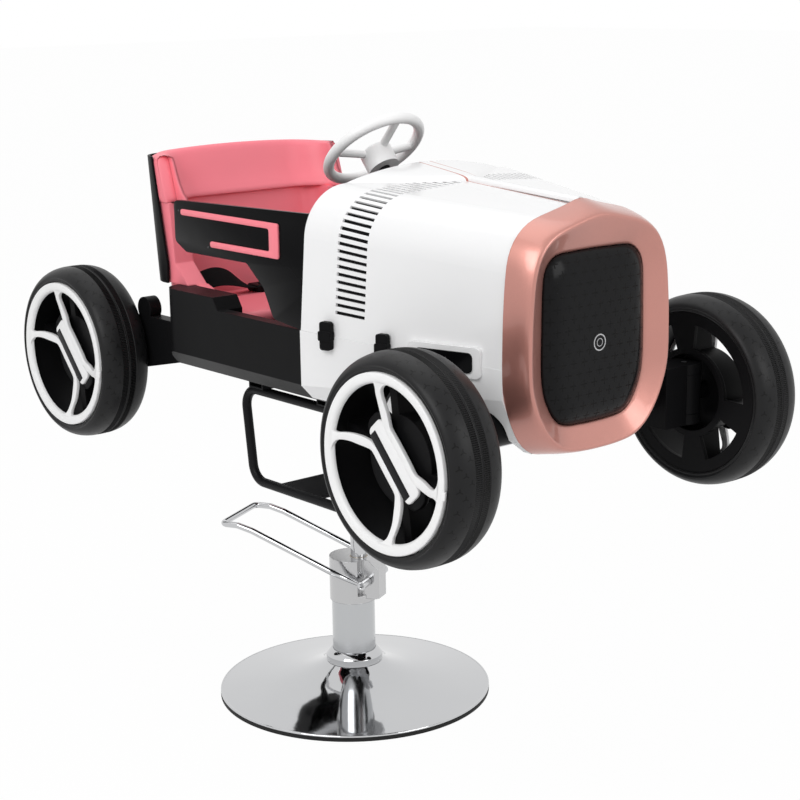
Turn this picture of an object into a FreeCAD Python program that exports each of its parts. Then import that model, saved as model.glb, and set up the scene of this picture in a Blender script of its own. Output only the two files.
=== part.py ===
import FreeCAD, Part
import math
import os

# Kids car barber chair: a small open racing car on a hydraulic salon base.
# Lengths in millimetres. Z is up and the car's nose points to -Y, so that the
# driver's left is at +X. The origin lies on the floor, on the axis of the lifting
# ram that the car swivels on. The foot pedal leaves the base on the right.

overrun = 2.0
seat_gap = 0.3
running_fit = 0.05

# Pump frame: the pump stands turned about the ram, with the ram off its centre
pump_turn_deg = 26.7
pump_offset = 12.0

# Base: trumpet plate, ballast, rubber edge and collar
base_radius = 240.0
base_edge_height = 9.0
base_flat_share = 0.62
base_bell_share = 0.36
base_neck_radius = 50.0
base_neck_height = 38.0
base_neck_lip = 9.0
base_skin = 2.5
ring_width = 6.0
ballast_thickness = 7.0
collar_radius = 50.0
collar_height = 23.0
collar_bevel = 8.0

# Pump: cylinder tube, head, lever housing, inner pressure cylinder and bush
tube_radius = 38.0
tube_wall = 4.0
tube_top = 170.0
head_radius = 41.0
head_height = 78.5
head_front_flat = 18.5
head_notch_depth = 12.0
head_notch_sill = 14.0
housing_half_width = 21.0
housing_front = 45.0
housing_height = 70.0
housing_slope_run = 17.0
housing_slope_drop = 17.0
housing_corner = 6.0
ram_radius = 14.0
bush_radius = 16.0
bush_height = 56.0
pressure_radius = 21.0
pressure_bore_radius = 17.05
pressure_wall_end = 1.0
pressure_seat = 4.0

# Ram and piston
ram_bottom = 100.0
piston_radius = 17.0
piston_height = 14.0
ram_down_travel = 60.0

# Crank, pedal, cam and plunger
crank_setback = 27.0
crank_height = 211.0
crank_radius = 7.6
crank_bore_radius = 4.2
crank_half_length = 50.0
pedal_rod_radius = 4.0
pedal_half_width = 63.0
pedal_weld_inset = 6.0
pedal_knee_reach = 25.0
pedal_knee_height = 235.0
pedal_mid_reach = 177.0
pedal_mid_height = 293.0
pedal_far_reach = 205.0
pedal_top_height = 300.0
pedal_bar_reach = 236.0
pedal_bend_radius = 22.0
pedal_long_bend_radius = 60.0
cam_side = 16.0
cam_half_width = 3.0
cam_boss_radius = 9.2
cam_reach = 15.5
cam_half_thickness = 4.0
cam_pocket_gap = 0.8
plunger_radius = 3.5
plunger_reach = 13.0
plunger_bottom = 178.0
plunger_bore_bottom = 171.5
plunger_play = 0.2
cam_swing = 13.0

# Swivel socket and carrying cradle
cradle_tube_radius = 8.2
cradle_half_spacing = 125.0
cradle_drop = 41.0
cradle_height = 164.0
cradle_top_half_length = 151.0
cradle_bottom_half_length = 130.0
cradle_bend_radius = 32.0
plate_thickness = 5.0
plate_half_width = 55.0
socket_radius = 24.0
socket_length = 55.0
socket_fit_gap = 0.3
cross_rail_half_width = 20.0
cross_rail_place = 95.0
cross_rail_wall = 3.0

# Chassis tub
tub_half_width = 230.0
tub_floor = 590.0
tub_corner = 34.0
tub_chamfer = 28.0
tub_deck_rise = 116.0
tub_front = 242.0
tub_rear = 240.0
tub_side_wall = 22.0
tub_skin = 12.0
tub_block_top_rise = 21.0
tub_block_front = 86.0
tub_block_slope_front = 72.0
well_side_inset = 50.0
well_front = 71.0
well_floor_rise = 65.0
nose_half_width = 100.0
nose_top_rise = 60.0
nose_shoulder = 330.0
nose_front = 470.0

# Hood: upper cover and lower body sides, tapering from rear to front
hood_rear = 189.0
hood_front = 534.0
hood_rear_lap = 25.0
hood_front_inset = 75.0
hood_seam_rise = 8.0
hood_seam_fall = 24.0
hood_rear_crown_rise = 226.0
hood_front_crown_rise = 206.0
hood_rear_shoulder_drop = 12.0
hood_front_shoulder_drop = 28.0
hood_shoulder_share = 0.934
hood_shoulder_radius = 82.0
hood_crown_radius = 300.0
hood_wall = 4.0
side_outset = 2.0
side_rear_bottom_rise = 6.0
side_front_bottom_drop = 35.0
side_turn_height = 31.0
side_front_turn_height = 90.0
side_tuck = 43.0
side_front_tuck = 60.0
side_turn_share = 0.5
side_lip_share = 0.26

# Cowl bulge that narrows into the spine on the hood's centre
bulge_front = 304.0
bulge_half_width = 170.0
bulge_height = 13.0
spine_half_width = 9.0
spine_height = 5.0

# Louvres and their dark liner
louvre_front = 302.0
louvre_length = 52.0
louvre_height = 5.2
louvre_pitch = 11.7
louvre_first_height = 35.0
louvre_count = 30
liner_wall = 2.0
liner_margin = 16.0

# Hood catches, side plates and their raised pads
latch_width = 20.0
latch_height = 44.0
latch_thickness = 9.0
latch_band_height = 15.0
latch_band_extra = 2.5
latch_middle_drop = 2.5
latch_front_drop = 9.0
latch_rear_place = 240.0
latch_front_place = 339.0
pad_length = 124.0
pad_height = 46.0
pad_thickness = 5.0
pad_middle_drop = 18.0
pad_place = 441.0
badge_length = 99.0
badge_height = 30.0
badge_thickness = 2.5
badge_corner = 8.0

# Grille ring and panel: shield outlines with a shoulder, a knee and a foot on each side
ring_crease = 581.0
ring_outer_top_rise = 204.0
ring_outer_bottom_drop = 38.0
ring_outer_lap = 2.0
ring_shoulder_share = 0.935
ring_shoulder_drop = 26.0
ring_shoulder_radius = 78.0
ring_knee_rise = 93.0
ring_knee_radius = 120.0
ring_foot_share = 0.67
ring_foot_radius = 35.0
crease_top_drop = 17.0
crease_bottom_rise = 6.0
crease_side_inset = 11.0
crease_shoulder_radius = 74.0
crease_knee_rise = 102.0
crease_foot_share = 0.57
crease_foot_radius = 26.0
crease_land = 3.0
panel_place = 563.0
panel_top_drop = 48.0
panel_bottom_rise = 36.0
panel_side_inset = 38.0
panel_shoulder_share = 0.965
panel_shoulder_drop = 2.0
panel_shoulder_radius = 38.0
panel_knee_rise = 61.0
panel_knee_radius = 70.0
panel_foot_share = 0.69
panel_foot_radius = 34.0
outline_apex_share = 2.1
outline_foot_rise = 3.0
panel_bulge = 11.0
panel_inset = 24.0
panel_thickness = 12.0

# Dash panel
dash_place = 226.0
dash_thickness = 6.0
dash_bottom_rise = 64.0

# Steering wheel, column and horn
wheel_rise_deg = 40.4
wheel_place = 63.0
wheel_centre_rise = 251.0
wheel_radius = 82.0
wheel_tube_radius = 9.0
wheel_spoke_radius = 6.5
wheel_hub_radius = 27.0
wheel_hub_depth = 34.0
wheel_hub_drop = 6.0
column_radius = 10.0
column_foot_rise = 11.9
horn_radius = 20.0
horn_height = 9.0
horn_travel = 3.0
horn_pocket_depth = 7.0
bracket_radius = 17.0
bracket_length = 26.0

# Seat: bucket, headrest band, rear shell and belts
seat_side_inset = 33.0
seat_wing_wall = 32.0
seat_back = 332.0
seat_rake = 24.0
seat_back_wall = 20.0
seat_corner = 58.0
seat_base_gap = 4.0
seat_pan_rise = 35.0
seat_pan_front = 105.0
seat_pan_lip = 12.0
tier_top_rise = 176.0
tier_pillar_front = 262.0
tier_waist_front = 250.0
tier_waist_rise = 72.0
tier_foot_front = 212.0
tier_inset = 10.0
band_top_rise = 86.0
band_top_front = 288.0
band_foot_front = 264.0
band_overhang = 4.0
band_crown = 8.0
shell_wall = 4.0
shell_front_gap = 14.0
belt_width = 30.0
belt_thickness = 2.4
belt_place = 262.0
belt_anchor_inset = 2.0
belt_crest = 88.0
belt_rise = 42.0
buckle_length = 46.0
buckle_width = 38.0
buckle_height = 15.0

# Side panels and coloured rails
panel_plate = 8.0
panel_top_rear_rise = 175.0
panel_top_front_rise = 185.0
panel_rear = 190.0
panel_rear_foot_rise = 106.0
panel_sill_rise = 90.0
panel_sill_rear = 158.0
panel_sill_front = -15.0
panel_cheek = -59.0
panel_cheek_rise = 55.0
panel_heel = -84.0
panel_heel_rise = 8.0
panel_toe = -155.0
panel_front = -236.0
panel_corner = 12.0
rail_thickness = 4.0
rail_top_rear = 165.0
rail_front = -107.0
rail_top_rise = 162.0
rail_bottom_rise = 106.0
rail_bar = 10.0
rail_block = 24.0
rail_lower_rear = 81.0
rail_corner = 4.5

# Front axle, kingpins, knuckles and tie rod
front_axle_place = 512.0
wheel_axis_drop = 5.0
beam_place = 488.0
beam_rise = 10.0
beam_radius = 31.0
beam_end_inset = 16.0
beam_clearance = 2.0
kingpin_reach = 48.0
kingpin_radius = 5.0
ear_radius = 28.0
ear_bottom_drop = 45.0
ear_top_rise = 52.0
ear_thickness = 16.0
yoke_lap = 18.0
yoke_half_width = 22.0
knuckle_radius = 27.0
knuckle_gap = 0.3
axle_radius = 8.0
axle_shoulder_radius = 14.0
arm_bottom_drop = 23.0
arm_thickness = 9.0
arm_reach = 50.0
arm_half_width = 7.0
arm_pad_radius = 12.0
arm_hole_radius = 7.5
tie_rod_radius = 5.0
tie_pin_radius = 4.0

# Rear axle
rear_axle_place = 469.0
rear_arm_inset = 27.0
rear_arm_width = 25.0
rear_arm_front = 190.0
rear_arm_top_rise = 70.0
rear_arm_foot_rise = 10.0
rear_arm_end_radius = 24.0
rear_arm_knee = 361.0
rear_arm_bottom_drop = 28.0
rear_tube_radius = 22.0
drum_radius = 21.0
drum_place = 342.0
drum_rise = 12.0
drum_lap = 23.0

# Wheels: tyre, rim and cover; depths run inward from the rim plane
front_rim_reach = 103.0
rear_rim_reach = 100.0
tyre_radius = 155.5
tyre_width = 96.5
tyre_bead_radius = 130.2
tyre_face_radius = 141.0
tyre_shoulder = 14.0
tyre_bead_depth = 5.0
tyre_shoulder_radius = 32.0
tyre_face_corner = 9.0
tyre_wall = 8.0
rim_fit = 0.1
rim_wall = 10.0
rim_depth = 91.0
rim_disc = 7.0
drum_face_depth = 34.0
drum_outer_radius = 66.0
drum_wall = 4.0
cup_depth = 56.0
axle_end_depth = 37.0
window_inner_radius = 72.0
window_outer_radius = 111.0
window_spoke_half_deg = 13.0
web_thickness = 16.0
cover_ring_outer = 130.0
cover_ring_inner = 112.0
cover_ring_thickness = 8.0
cover_bar_deg = 132.0
cover_bar_length = 128.0
cover_bar_width = 28.0
cover_bar_depth = 23.0
cover_bar_thickness = 5.0
cover_plate_length = 104.0
cover_plate_width = 50.0
cover_spoke_width = 11.0
cover_spoke_flare = 20.0
cover_spoke_thickness = 6.0
cover_spoke_ring_deg = 34.5
cover_spoke_root_deg = 21.0
cover_spoke_root_radius = 52.0
cover_spoke_bend_share = 0.45

# Half widths: the seat, the hood and the axles follow the tub's width
well_half_width = tub_half_width - well_side_inset
hood_rear_half_width = tub_half_width + hood_rear_lap
hood_front_half_width = tub_half_width - hood_front_inset
ring_outer_half_width = hood_front_half_width + ring_outer_lap
crease_half_width = ring_outer_half_width - crease_side_inset
panel_half_width = crease_half_width - panel_side_inset
seat_outer_half_width = tub_half_width - seat_side_inset
seat_inner_half_width = seat_outer_half_width - seat_wing_wall
seat_base_half_width = well_half_width - seat_base_gap
belt_anchor = seat_inner_half_width - belt_anchor_inset
beam_half_length = tub_half_width - beam_end_inset
yoke_inner = beam_half_length - yoke_lap
kingpin_place = beam_half_length + kingpin_reach
front_rim_plane = kingpin_place + front_rim_reach
rear_arm_outer = tub_half_width - rear_arm_inset
drum_inner = rear_arm_outer - drum_lap
rear_rim_plane = rear_arm_outer + rear_rim_reach

# Heights from the floor: the car's pieces follow the tub, and the cradle hangs below it
tub_deck = tub_floor + tub_deck_rise
tub_block_top = tub_deck + tub_block_top_rise
well_floor = tub_floor + well_floor_rise
nose_top = tub_floor + nose_top_rise
hood_seam = tub_deck + hood_seam_rise
hood_front_seam = hood_seam - hood_seam_fall
hood_rear_crown = hood_seam + hood_rear_crown_rise
hood_front_crown = hood_seam + hood_front_crown_rise
side_rear_bottom = tub_floor + side_rear_bottom_rise
side_front_bottom = tub_floor - side_front_bottom_drop
latch_middle = hood_seam - latch_middle_drop
pad_middle = hood_seam - pad_middle_drop
ring_outer_top = hood_seam + ring_outer_top_rise
ring_outer_bottom = tub_floor - ring_outer_bottom_drop
crease_top = ring_outer_top - crease_top_drop
crease_bottom = ring_outer_bottom + crease_bottom_rise
panel_top = crease_top - panel_top_drop
panel_bottom = crease_bottom + panel_bottom_rise
dash_bottom = tub_deck + dash_bottom_rise
wheel_height = hood_seam + wheel_centre_rise
seat_pan = well_floor + seat_pan_rise
tier_top = seat_pan + tier_top_rise
tier_waist_height = seat_pan + tier_waist_rise
band_top = tier_top + band_top_rise
shell_bottom = tub_block_top
panel_top_rear = tub_deck + panel_top_rear_rise
panel_top_front = tub_deck + panel_top_front_rise
panel_rear_foot = tub_deck + panel_rear_foot_rise
panel_sill = tub_deck + panel_sill_rise
panel_cheek_height = tub_deck + panel_cheek_rise
panel_heel_height = tub_deck + panel_heel_rise
rail_top = tub_deck + rail_top_rise
rail_bottom = tub_deck + rail_bottom_rise
wheel_axis_height = tub_floor - wheel_axis_drop
beam_height = wheel_axis_height + beam_rise
ear_bottom = wheel_axis_height - ear_bottom_drop
ear_top = wheel_axis_height + ear_top_rise
arm_bottom = wheel_axis_height - arm_bottom_drop
rear_arm_top = tub_floor + rear_arm_top_rise
rear_arm_foot = tub_floor + rear_arm_foot_rise
rear_arm_bottom = tub_floor - rear_arm_bottom_drop
drum_height = rear_arm_top + drum_rise
cradle_top = tub_floor - cradle_drop
cradle_bottom = cradle_top - cradle_height


def point(x, y, z):
    return FreeCAD.Vector(x, y, z)


origin = point(0, 0, 0)
right = point(1, 0, 0)
back = point(0, 1, 0)
up = point(0, 0, 1)


def block(x_span, y_span, z_span):
    corner = point(x_span[0], y_span[0], z_span[0])
    return Part.makeBox(x_span[1] - x_span[0], y_span[1] - y_span[0], z_span[1] - z_span[0], corner)


def rod(radius, start, end):
    return Part.makeCylinder(radius, (end - start).Length, start, end - start)


def upright(radius, x, y, z_span):
    return rod(radius, point(x, y, z_span[0]), point(x, y, z_span[1]))


def joined(first, *others):
    return first.fuse(list(others)).removeSplitter()


def mirrored(shape):
    return shape.mirror(origin, right)


def pair(shape):
    return Part.makeCompound([mirrored(shape), shape])


def rounded(corners, radii, closed=True):
    """Wire through the corners with a tangent arc of the given radius at each."""
    count = len(corners)
    starts, ends, middles = [], [], []
    for index, corner in enumerate(corners):
        radius = radii[index]
        if radius == 0:
            starts.append(corner)
            ends.append(corner)
            middles.append(None)
            continue
        toward_last = (corners[index - 1] - corner).normalize()
        toward_next = (corners[(index + 1) % count] - corner).normalize()
        half_angle = toward_last.getAngle(toward_next) / 2
        reach = radius / math.tan(half_angle)
        bisector = (toward_last + toward_next).normalize()
        starts.append(corner + toward_last * reach)
        ends.append(corner + toward_next * reach)
        middles.append(corner + bisector * (radius / math.sin(half_angle) - radius))
    edges = []
    for index in range(count):
        if middles[index] is not None:
            edges.append(Part.Arc(starts[index], middles[index], ends[index]).toShape())
        if closed or index < count - 1:
            edges.append(Part.LineSegment(ends[index], starts[(index + 1) % count]).toShape())
    return Part.Wire(edges)


def polygon(corners):
    return rounded(corners, [0] * len(corners))


def plate(wire, direction):
    return Part.Face(wire).extrude(direction)


def loft(*wires):
    return Part.makeLoft(list(wires), True, True)


def turned(profile, start, axis, out, radii=None):
    """Solid of revolution; the profile is a list of (radius, distance along axis)."""
    corners = [start + out * radius + axis * along for radius, along in profile]
    outline = rounded(corners, radii or [0] * len(corners))
    return Part.Face(outline).revolve(start, axis, 360)


def piped(path, radius):
    """Round bar along a path of straight runs and tangent arcs."""
    runs = []
    for edge in path.OrderedEdges:
        start = edge.valueAt(edge.FirstParameter)
        end = edge.valueAt(edge.LastParameter)
        if isinstance(edge.Curve, Part.Circle):
            heading = edge.tangentAt(edge.FirstParameter)
            section = Part.Face(Part.Wire(Part.Circle(start, heading, radius).toShape()))
            centre = edge.Curve.Center
            axis = (start - centre).cross(heading)
            runs.append(section.revolve(centre, axis, math.degrees(edge.Length / edge.Curve.Radius)))
        else:
            runs.append(rod(radius, start, end))
    return joined(*runs)


def pump_placed(shape):
    turned_shape = shape.copy()
    turned_shape.rotate(origin, up, pump_turn_deg)
    return turned_shape


# Base

pump_axis = point(0, pump_offset, 0)
neck_inner_radius = tube_radius + seat_gap


def base_plate():
    flat_radius = base_radius * base_flat_share
    bell_radius = base_radius * base_bell_share
    bell_step = (base_neck_height - base_edge_height) * base_bell_share
    profile = [
        (base_radius, base_edge_height - base_skin),
        (base_radius, base_edge_height),
        (flat_radius, base_edge_height + bell_step / 2),
        (bell_radius, base_edge_height + bell_step + base_skin),
        (base_neck_radius, base_neck_height),
        (neck_inner_radius, base_neck_height),
        (neck_inner_radius, base_neck_height - base_skin),
        (base_neck_radius - base_skin, base_neck_height - base_skin),
        (bell_radius - base_skin, base_edge_height + bell_step),
    ]
    return turned(profile, pump_axis, up, right)


def base_ballast():
    ballast_radius = base_radius - ring_width
    profile = [
        (0, 0),
        (ballast_radius, 0),
        (ballast_radius, base_edge_height - base_skin),
        (tube_radius, base_edge_height - base_skin + ballast_thickness),
        (0, base_edge_height - base_skin + ballast_thickness),
    ]
    solid = turned(profile, pump_axis, up, right)
    return solid.cut(base_plate())


def base_rubber_ring():
    profile = [
        (base_radius - ring_width, 0),
        (base_radius, 0),
        (base_radius, base_edge_height - base_skin),
        (base_radius - ring_width, base_edge_height - base_skin),
    ]
    return turned(profile, pump_axis, up, right)


def base_collar():
    top = base_neck_height + collar_height
    profile = [
        (neck_inner_radius, base_neck_height),
        (collar_radius, base_neck_height),
        (collar_radius, top - collar_bevel),
        (collar_radius - collar_bevel, top),
        (neck_inner_radius, top),
    ]
    return turned(profile, pump_axis, up, right)


# Pump

tube_foot = base_edge_height - base_skin + ballast_thickness
head_top = tube_top + head_height
housing_bottom = head_top - housing_height


def pump_cylinder():
    outer = upright(tube_radius, 0, pump_offset, (tube_foot, tube_top))
    return outer.cut(upright(tube_radius - tube_wall, 0, pump_offset, (tube_foot - overrun, tube_top + overrun)))


def plunger_bore():
    reach = -crank_setback + plunger_reach
    return upright(plunger_radius + running_fit, cam_side, reach, (plunger_bore_bottom, crank_height))


def cam_pocket():
    """Room for the cam's boss and for its finger through the whole stroke."""
    half = cam_half_width + cam_pocket_gap
    start = point(cam_side - half, -crank_setback, crank_height)
    boss = rod(cam_boss_radius + cam_pocket_gap, start, start + right * (half + half))
    finger = block((cam_side - half, cam_side + half),
                   (-crank_setback, -crank_setback + cam_reach + cam_pocket_gap),
                   (crank_height - cam_swing, crank_height + cam_half_thickness + cam_pocket_gap))
    return joined(boss, finger)


def crank_passage():
    far = crank_half_length + overrun
    middle = point(0, -crank_setback, crank_height)
    return rod(crank_radius + running_fit, middle - right * far, middle + right * far)


def pump_head():
    solid = upright(head_radius, 0, pump_offset, (tube_top, head_top))
    far = head_radius + overrun
    front = block((-housing_half_width, housing_half_width), (-far, -head_front_flat),
                  (housing_bottom, head_top + overrun))
    solid = solid.cut(front)
    for side in (-1, 1):
        inner, outer = sorted((side * housing_half_width, side * far))
        notch = block((inner, outer), (-far, -head_notch_depth), (tube_top + head_notch_sill, head_top + overrun))
        solid = solid.cut(notch)
    seat = head_top - bush_height
    solid = solid.cut(upright(bush_radius, 0, 0, (seat, head_top + overrun)))
    solid = solid.cut(upright(ram_radius + seat_gap, 0, 0, (tube_top - overrun, head_top)))
    solid = solid.cut(upright(pressure_radius, 0, 0, (tube_top - overrun, tube_top + pressure_wall_end)))
    return solid.cut([plunger_bore(), cam_pocket()])


def lever_housing():
    slope = [
        point(-housing_half_width, -head_front_flat, housing_bottom),
        point(-housing_half_width, -housing_front, housing_bottom),
        point(-housing_half_width, -housing_front, head_top - housing_slope_drop),
        point(-housing_half_width, -housing_front + housing_slope_run, head_top),
        point(-housing_half_width, -head_front_flat, head_top),
    ]
    solid = plate(polygon(slope), right * (housing_half_width + housing_half_width))
    for side in (-1, 1):
        edge = [
            point(side * housing_half_width, -housing_front + housing_corner, housing_bottom - overrun),
            point(side * (housing_half_width - housing_corner), -housing_front, housing_bottom - overrun),
            point(side * housing_half_width, -housing_front, housing_bottom - overrun),
        ]
        solid = solid.cut(plate(polygon(edge), up * (housing_height + overrun + overrun)))
    return solid.cut([crank_passage(), cam_pocket()])


def pressure_cylinder():
    outer = upright(pressure_radius, 0, 0, (tube_foot, tube_top + pressure_wall_end))
    bore = upright(pressure_bore_radius, 0, 0, (tube_foot + pressure_seat, tube_top + pressure_wall_end + overrun))
    return outer.cut(bore)


def ram_bush():
    outer = upright(bush_radius, 0, 0, (head_top - bush_height, head_top))
    return outer.cut(upright(ram_radius + running_fit, 0, 0, (head_top - bush_height - overrun, head_top + overrun)))


# Ram, pedal and plunger

plate_bottom = cradle_bottom + cradle_tube_radius - plate_thickness - seat_gap
ram_top = plate_bottom - socket_fit_gap


def ram_rod():
    return upright(ram_radius, 0, 0, (ram_bottom, ram_top))


def ram_piston():
    return upright(piston_radius, 0, 0, (ram_bottom - piston_height, ram_bottom))


def foot_pedal():
    """Crank tube with the bent rod loop that the stylist steps on."""
    middle = point(0, -crank_setback, crank_height)
    half_crank = right * crank_half_length
    crank = rod(crank_radius, middle - half_crank, middle + half_crank)
    weld = crank_half_length - pedal_weld_inset
    start_reach = -crank_setback + crank_radius - pedal_rod_radius / 2
    stations = [
        (weld, start_reach, crank_height),
        (pedal_half_width, pedal_knee_reach, pedal_knee_height),
        (pedal_half_width, pedal_mid_reach, pedal_mid_height),
        (pedal_half_width, pedal_far_reach, pedal_top_height),
        (pedal_half_width, pedal_bar_reach, pedal_top_height),
    ]
    near_side = [point(-u, p, z) for u, p, z in stations]
    far_side = [point(u, p, z) for u, p, z in reversed(stations)]
    bends = [0, pedal_bend_radius, pedal_bend_radius, pedal_bend_radius, pedal_bend_radius / 2]
    path = rounded(near_side + far_side, bends + bends[::-1], closed=False)
    solid = joined(crank, piped(path, pedal_rod_radius))
    hollow = rod(crank_bore_radius, middle - half_crank - right, middle - half_crank / 2)
    far_hollow = rod(crank_bore_radius, middle + half_crank / 2, middle + half_crank + right)
    waist = rod(crank_radius, middle + right * (cam_side - cam_half_width), middle + right * (cam_side + cam_half_width))
    core = rod(crank_bore_radius, middle, middle + half_crank / 2)
    return pump_placed(solid.cut([hollow, far_hollow]).cut(waist.cut(core)))


def pedal_cam():
    start = point(cam_side - cam_half_width, -crank_setback, crank_height)
    width = right * (cam_half_width + cam_half_width)
    boss = rod(cam_boss_radius, start, start + width)
    finger = block((cam_side - cam_half_width, cam_side + cam_half_width),
                   (-crank_setback, -crank_setback + cam_reach),
                   (crank_height - cam_half_thickness, crank_height + cam_half_thickness))
    return joined(boss, finger).cut(rod(crank_bore_radius, start - right, start + width + right))


def pump_plunger():
    top = crank_height - cam_half_thickness - plunger_play
    return upright(plunger_radius, cam_side, -crank_setback + plunger_reach, (plunger_bottom, top))


# Swivel socket and cradle

def swivel_socket():
    outer = upright(socket_radius, 0, 0, (plate_bottom - socket_length, plate_bottom))
    return outer.cut(upright(ram_radius + running_fit, 0, 0, (plate_bottom - socket_length - overrun, plate_bottom + overrun)))


def cradle_loop():
    x = cradle_half_spacing
    corners = [
        point(x, -cradle_top_half_length, cradle_top),
        point(x, cradle_top_half_length, cradle_top),
        point(x, cradle_bottom_half_length, cradle_bottom),
        point(x, -cradle_bottom_half_length, cradle_bottom),
    ]
    path = rounded(corners, [cradle_bend_radius] * len(corners))
    return piped(path, cradle_tube_radius)


def cradle_plate():
    top = plate_bottom + plate_thickness
    flat = block((-cradle_half_spacing, cradle_half_spacing), (-plate_half_width, plate_half_width), (plate_bottom, top))
    bars = []
    for side in (-1, 1):
        start = point(side * cradle_half_spacing, -cradle_bottom_half_length, cradle_bottom)
        bars.append(rod(cradle_tube_radius, start, start + back * (cradle_bottom_half_length + cradle_bottom_half_length)))
    return flat.cut(bars)


def cross_rails():
    half_length = cradle_half_spacing + cradle_tube_radius + cradle_tube_radius
    bottom = cradle_top + cradle_tube_radius
    rails = []
    inner = cross_rail_half_width - cross_rail_wall
    for place in (-cross_rail_place, cross_rail_place):
        rail = block((-half_length, half_length),
                     (place - cross_rail_half_width, place + cross_rail_half_width), (bottom, tub_floor))
        hollow = block((-half_length - overrun, half_length + overrun), (place - inner, place + inner),
                       (bottom + cross_rail_wall, tub_floor - cross_rail_wall))
        rails.append(rail.cut(hollow))
    return Part.makeCompound(rails)


# Chassis tub

def beam_cylinder(radius):
    middle = point(0, -beam_place, beam_height)
    half = right * beam_half_length
    return rod(radius, middle - half, middle + half)


def chassis_tub():
    def section(place, top):
        return polygon([
            point(-tub_half_width, place, top),
            point(-tub_half_width, place, tub_floor + tub_chamfer),
            point(-tub_half_width + tub_chamfer, place, tub_floor),
            point(tub_half_width - tub_chamfer, place, tub_floor),
            point(tub_half_width, place, tub_floor + tub_chamfer),
            point(tub_half_width, place, top),
        ])
    low = plate(section(-tub_front, tub_deck), back * (tub_front + tub_block_front))
    slope = loft(section(tub_block_slope_front, tub_deck), section(tub_block_front, tub_block_top))
    raised = plate(section(tub_block_front, tub_block_top), back * (tub_rear - tub_block_front))
    nose_plan = [
        point(-well_half_width, -tub_front, tub_floor),
        point(-nose_half_width, -nose_shoulder, tub_floor),
        point(-nose_half_width, -nose_front, tub_floor),
        point(nose_half_width, -nose_front, tub_floor),
        point(nose_half_width, -nose_shoulder, tub_floor),
        point(well_half_width, -tub_front, tub_floor),
    ]
    nose = plate(polygon(nose_plan), up * (nose_top - tub_floor))
    solid = joined(low, slope, raised, nose)
    inner = tub_half_width - tub_side_wall
    legs = block((-inner, inner), (-tub_front + tub_skin, tub_block_slope_front),
                 (tub_floor + tub_skin, tub_block_top + overrun))
    feet = block((-nose_half_width, nose_half_width), (-tub_front - overrun, -tub_front + tub_skin + overrun),
                 (nose_top, tub_block_top + overrun))
    well = block((-well_half_width, well_half_width), (well_front, tub_rear + overrun),
                 (well_floor, tub_block_top + overrun))
    belly_half = tub_half_width - tub_chamfer - tub_skin
    belly_front = cross_rail_place + cross_rail_half_width + tub_skin
    belly = block((-belly_half, belly_half), (belly_front, tub_rear - tub_skin),
                  (tub_floor - overrun, well_floor - tub_skin))
    nose_hollow = block((-nose_half_width + tub_skin, nose_half_width - tub_skin),
                        (-nose_front + tub_skin, -tub_front - tub_skin), (tub_floor - overrun, nose_top - tub_skin))
    plan = plan_loop(tub_half_width, tub_rear, tub_corner, -nose_front, tub_floor - overrun)
    solid = solid.common(plate(plan, up * (tub_block_top - tub_floor + overrun + overrun)))
    return solid.cut([legs, feet, well, belly, nose_hollow, beam_cylinder(beam_radius)])


# Hood

taper = (hood_rear_half_width - hood_front_half_width) / (hood_front - hood_rear)
taper_deg = math.degrees(math.atan(taper))


def along_hood(rear_value, front_value, place):
    """Value at a distance ahead of the swivel axis, straight from rear to front."""
    share = (place - hood_rear) / (hood_front - hood_rear)
    return rear_value + (front_value - rear_value) * share


def hood_half_width(place):
    return along_hood(hood_rear_half_width, hood_front_half_width, place)


def hood_section(place, inset, foot):
    half = hood_half_width(place) - inset
    crown = along_hood(hood_rear_crown, hood_front_crown, place) - inset
    drop = along_hood(hood_rear_shoulder_drop, hood_front_shoulder_drop, place)
    shoulder = half * hood_shoulder_share
    lean = (half - shoulder) / (crown - drop - hood_seam)
    foot_half = half + lean * (hood_seam - foot)
    corners = [
        point(-foot_half, -place, foot),
        point(-shoulder, -place, crown - drop),
        point(0, -place, crown),
        point(shoulder, -place, crown - drop),
        point(foot_half, -place, foot),
    ]
    radius = hood_shoulder_radius - inset
    return rounded(corners, [0, radius, hood_crown_radius, radius, 0])


def hood_seam_at(place):
    return along_hood(hood_seam, hood_front_seam, place)


def hood_solid(rear, front, inset, foot_drop):
    return loft(hood_section(rear, inset, hood_seam_at(rear) - foot_drop),
                hood_section(front, inset, hood_seam_at(front) - foot_drop))


def cowl_section(place, half, height):
    """Arched section that rises above the hood's crown and ends below its surface."""
    crown = along_hood(hood_rear_crown, hood_front_crown, place)
    fall = along_hood(hood_rear_shoulder_drop, hood_front_shoulder_drop, place)
    side = crown - fall * half / (hood_half_width(place) * hood_shoulder_share) - hood_wall / 2
    start, end = point(-half, -place, side), point(half, -place, side)
    arch = Part.Arc(start, point(0, -place, crown + height), end).toShape()
    return Part.Wire([arch, Part.LineSegment(end, start).toShape()])


def hood_spine():
    """Cowl bulge behind the louvres, narrowing into a low spine that runs to the grille ring."""
    return loft(cowl_section(hood_rear, bulge_half_width, bulge_height),
                cowl_section(bulge_front, spine_half_width, spine_height),
                cowl_section(hood_front, spine_half_width, spine_height))


def louvre_slots():
    """Long slots that follow the hood's curve from above the seam to the crown."""
    rear = louvre_front - louvre_length
    slots = []
    sections = [hood_section(place, 0, hood_seam_at(place)) for place in (rear, louvre_front)]
    half_length = sum(edge.Length for edge in sections[0].OrderedEdges[:4])
    for number in range(louvre_count):
        share = (louvre_first_height + number * louvre_pitch) / half_length
        quads = []
        for section in sections:
            lower, upper = wall_points(section, share, louvre_height / half_length)
            outward = back.cross(upper - lower).normalize() * (hood_wall + hood_wall)
            quads.append(polygon([lower - outward, upper - outward, upper + outward, lower + outward]))
        slots.append(loft(*quads))
    return slots


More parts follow.
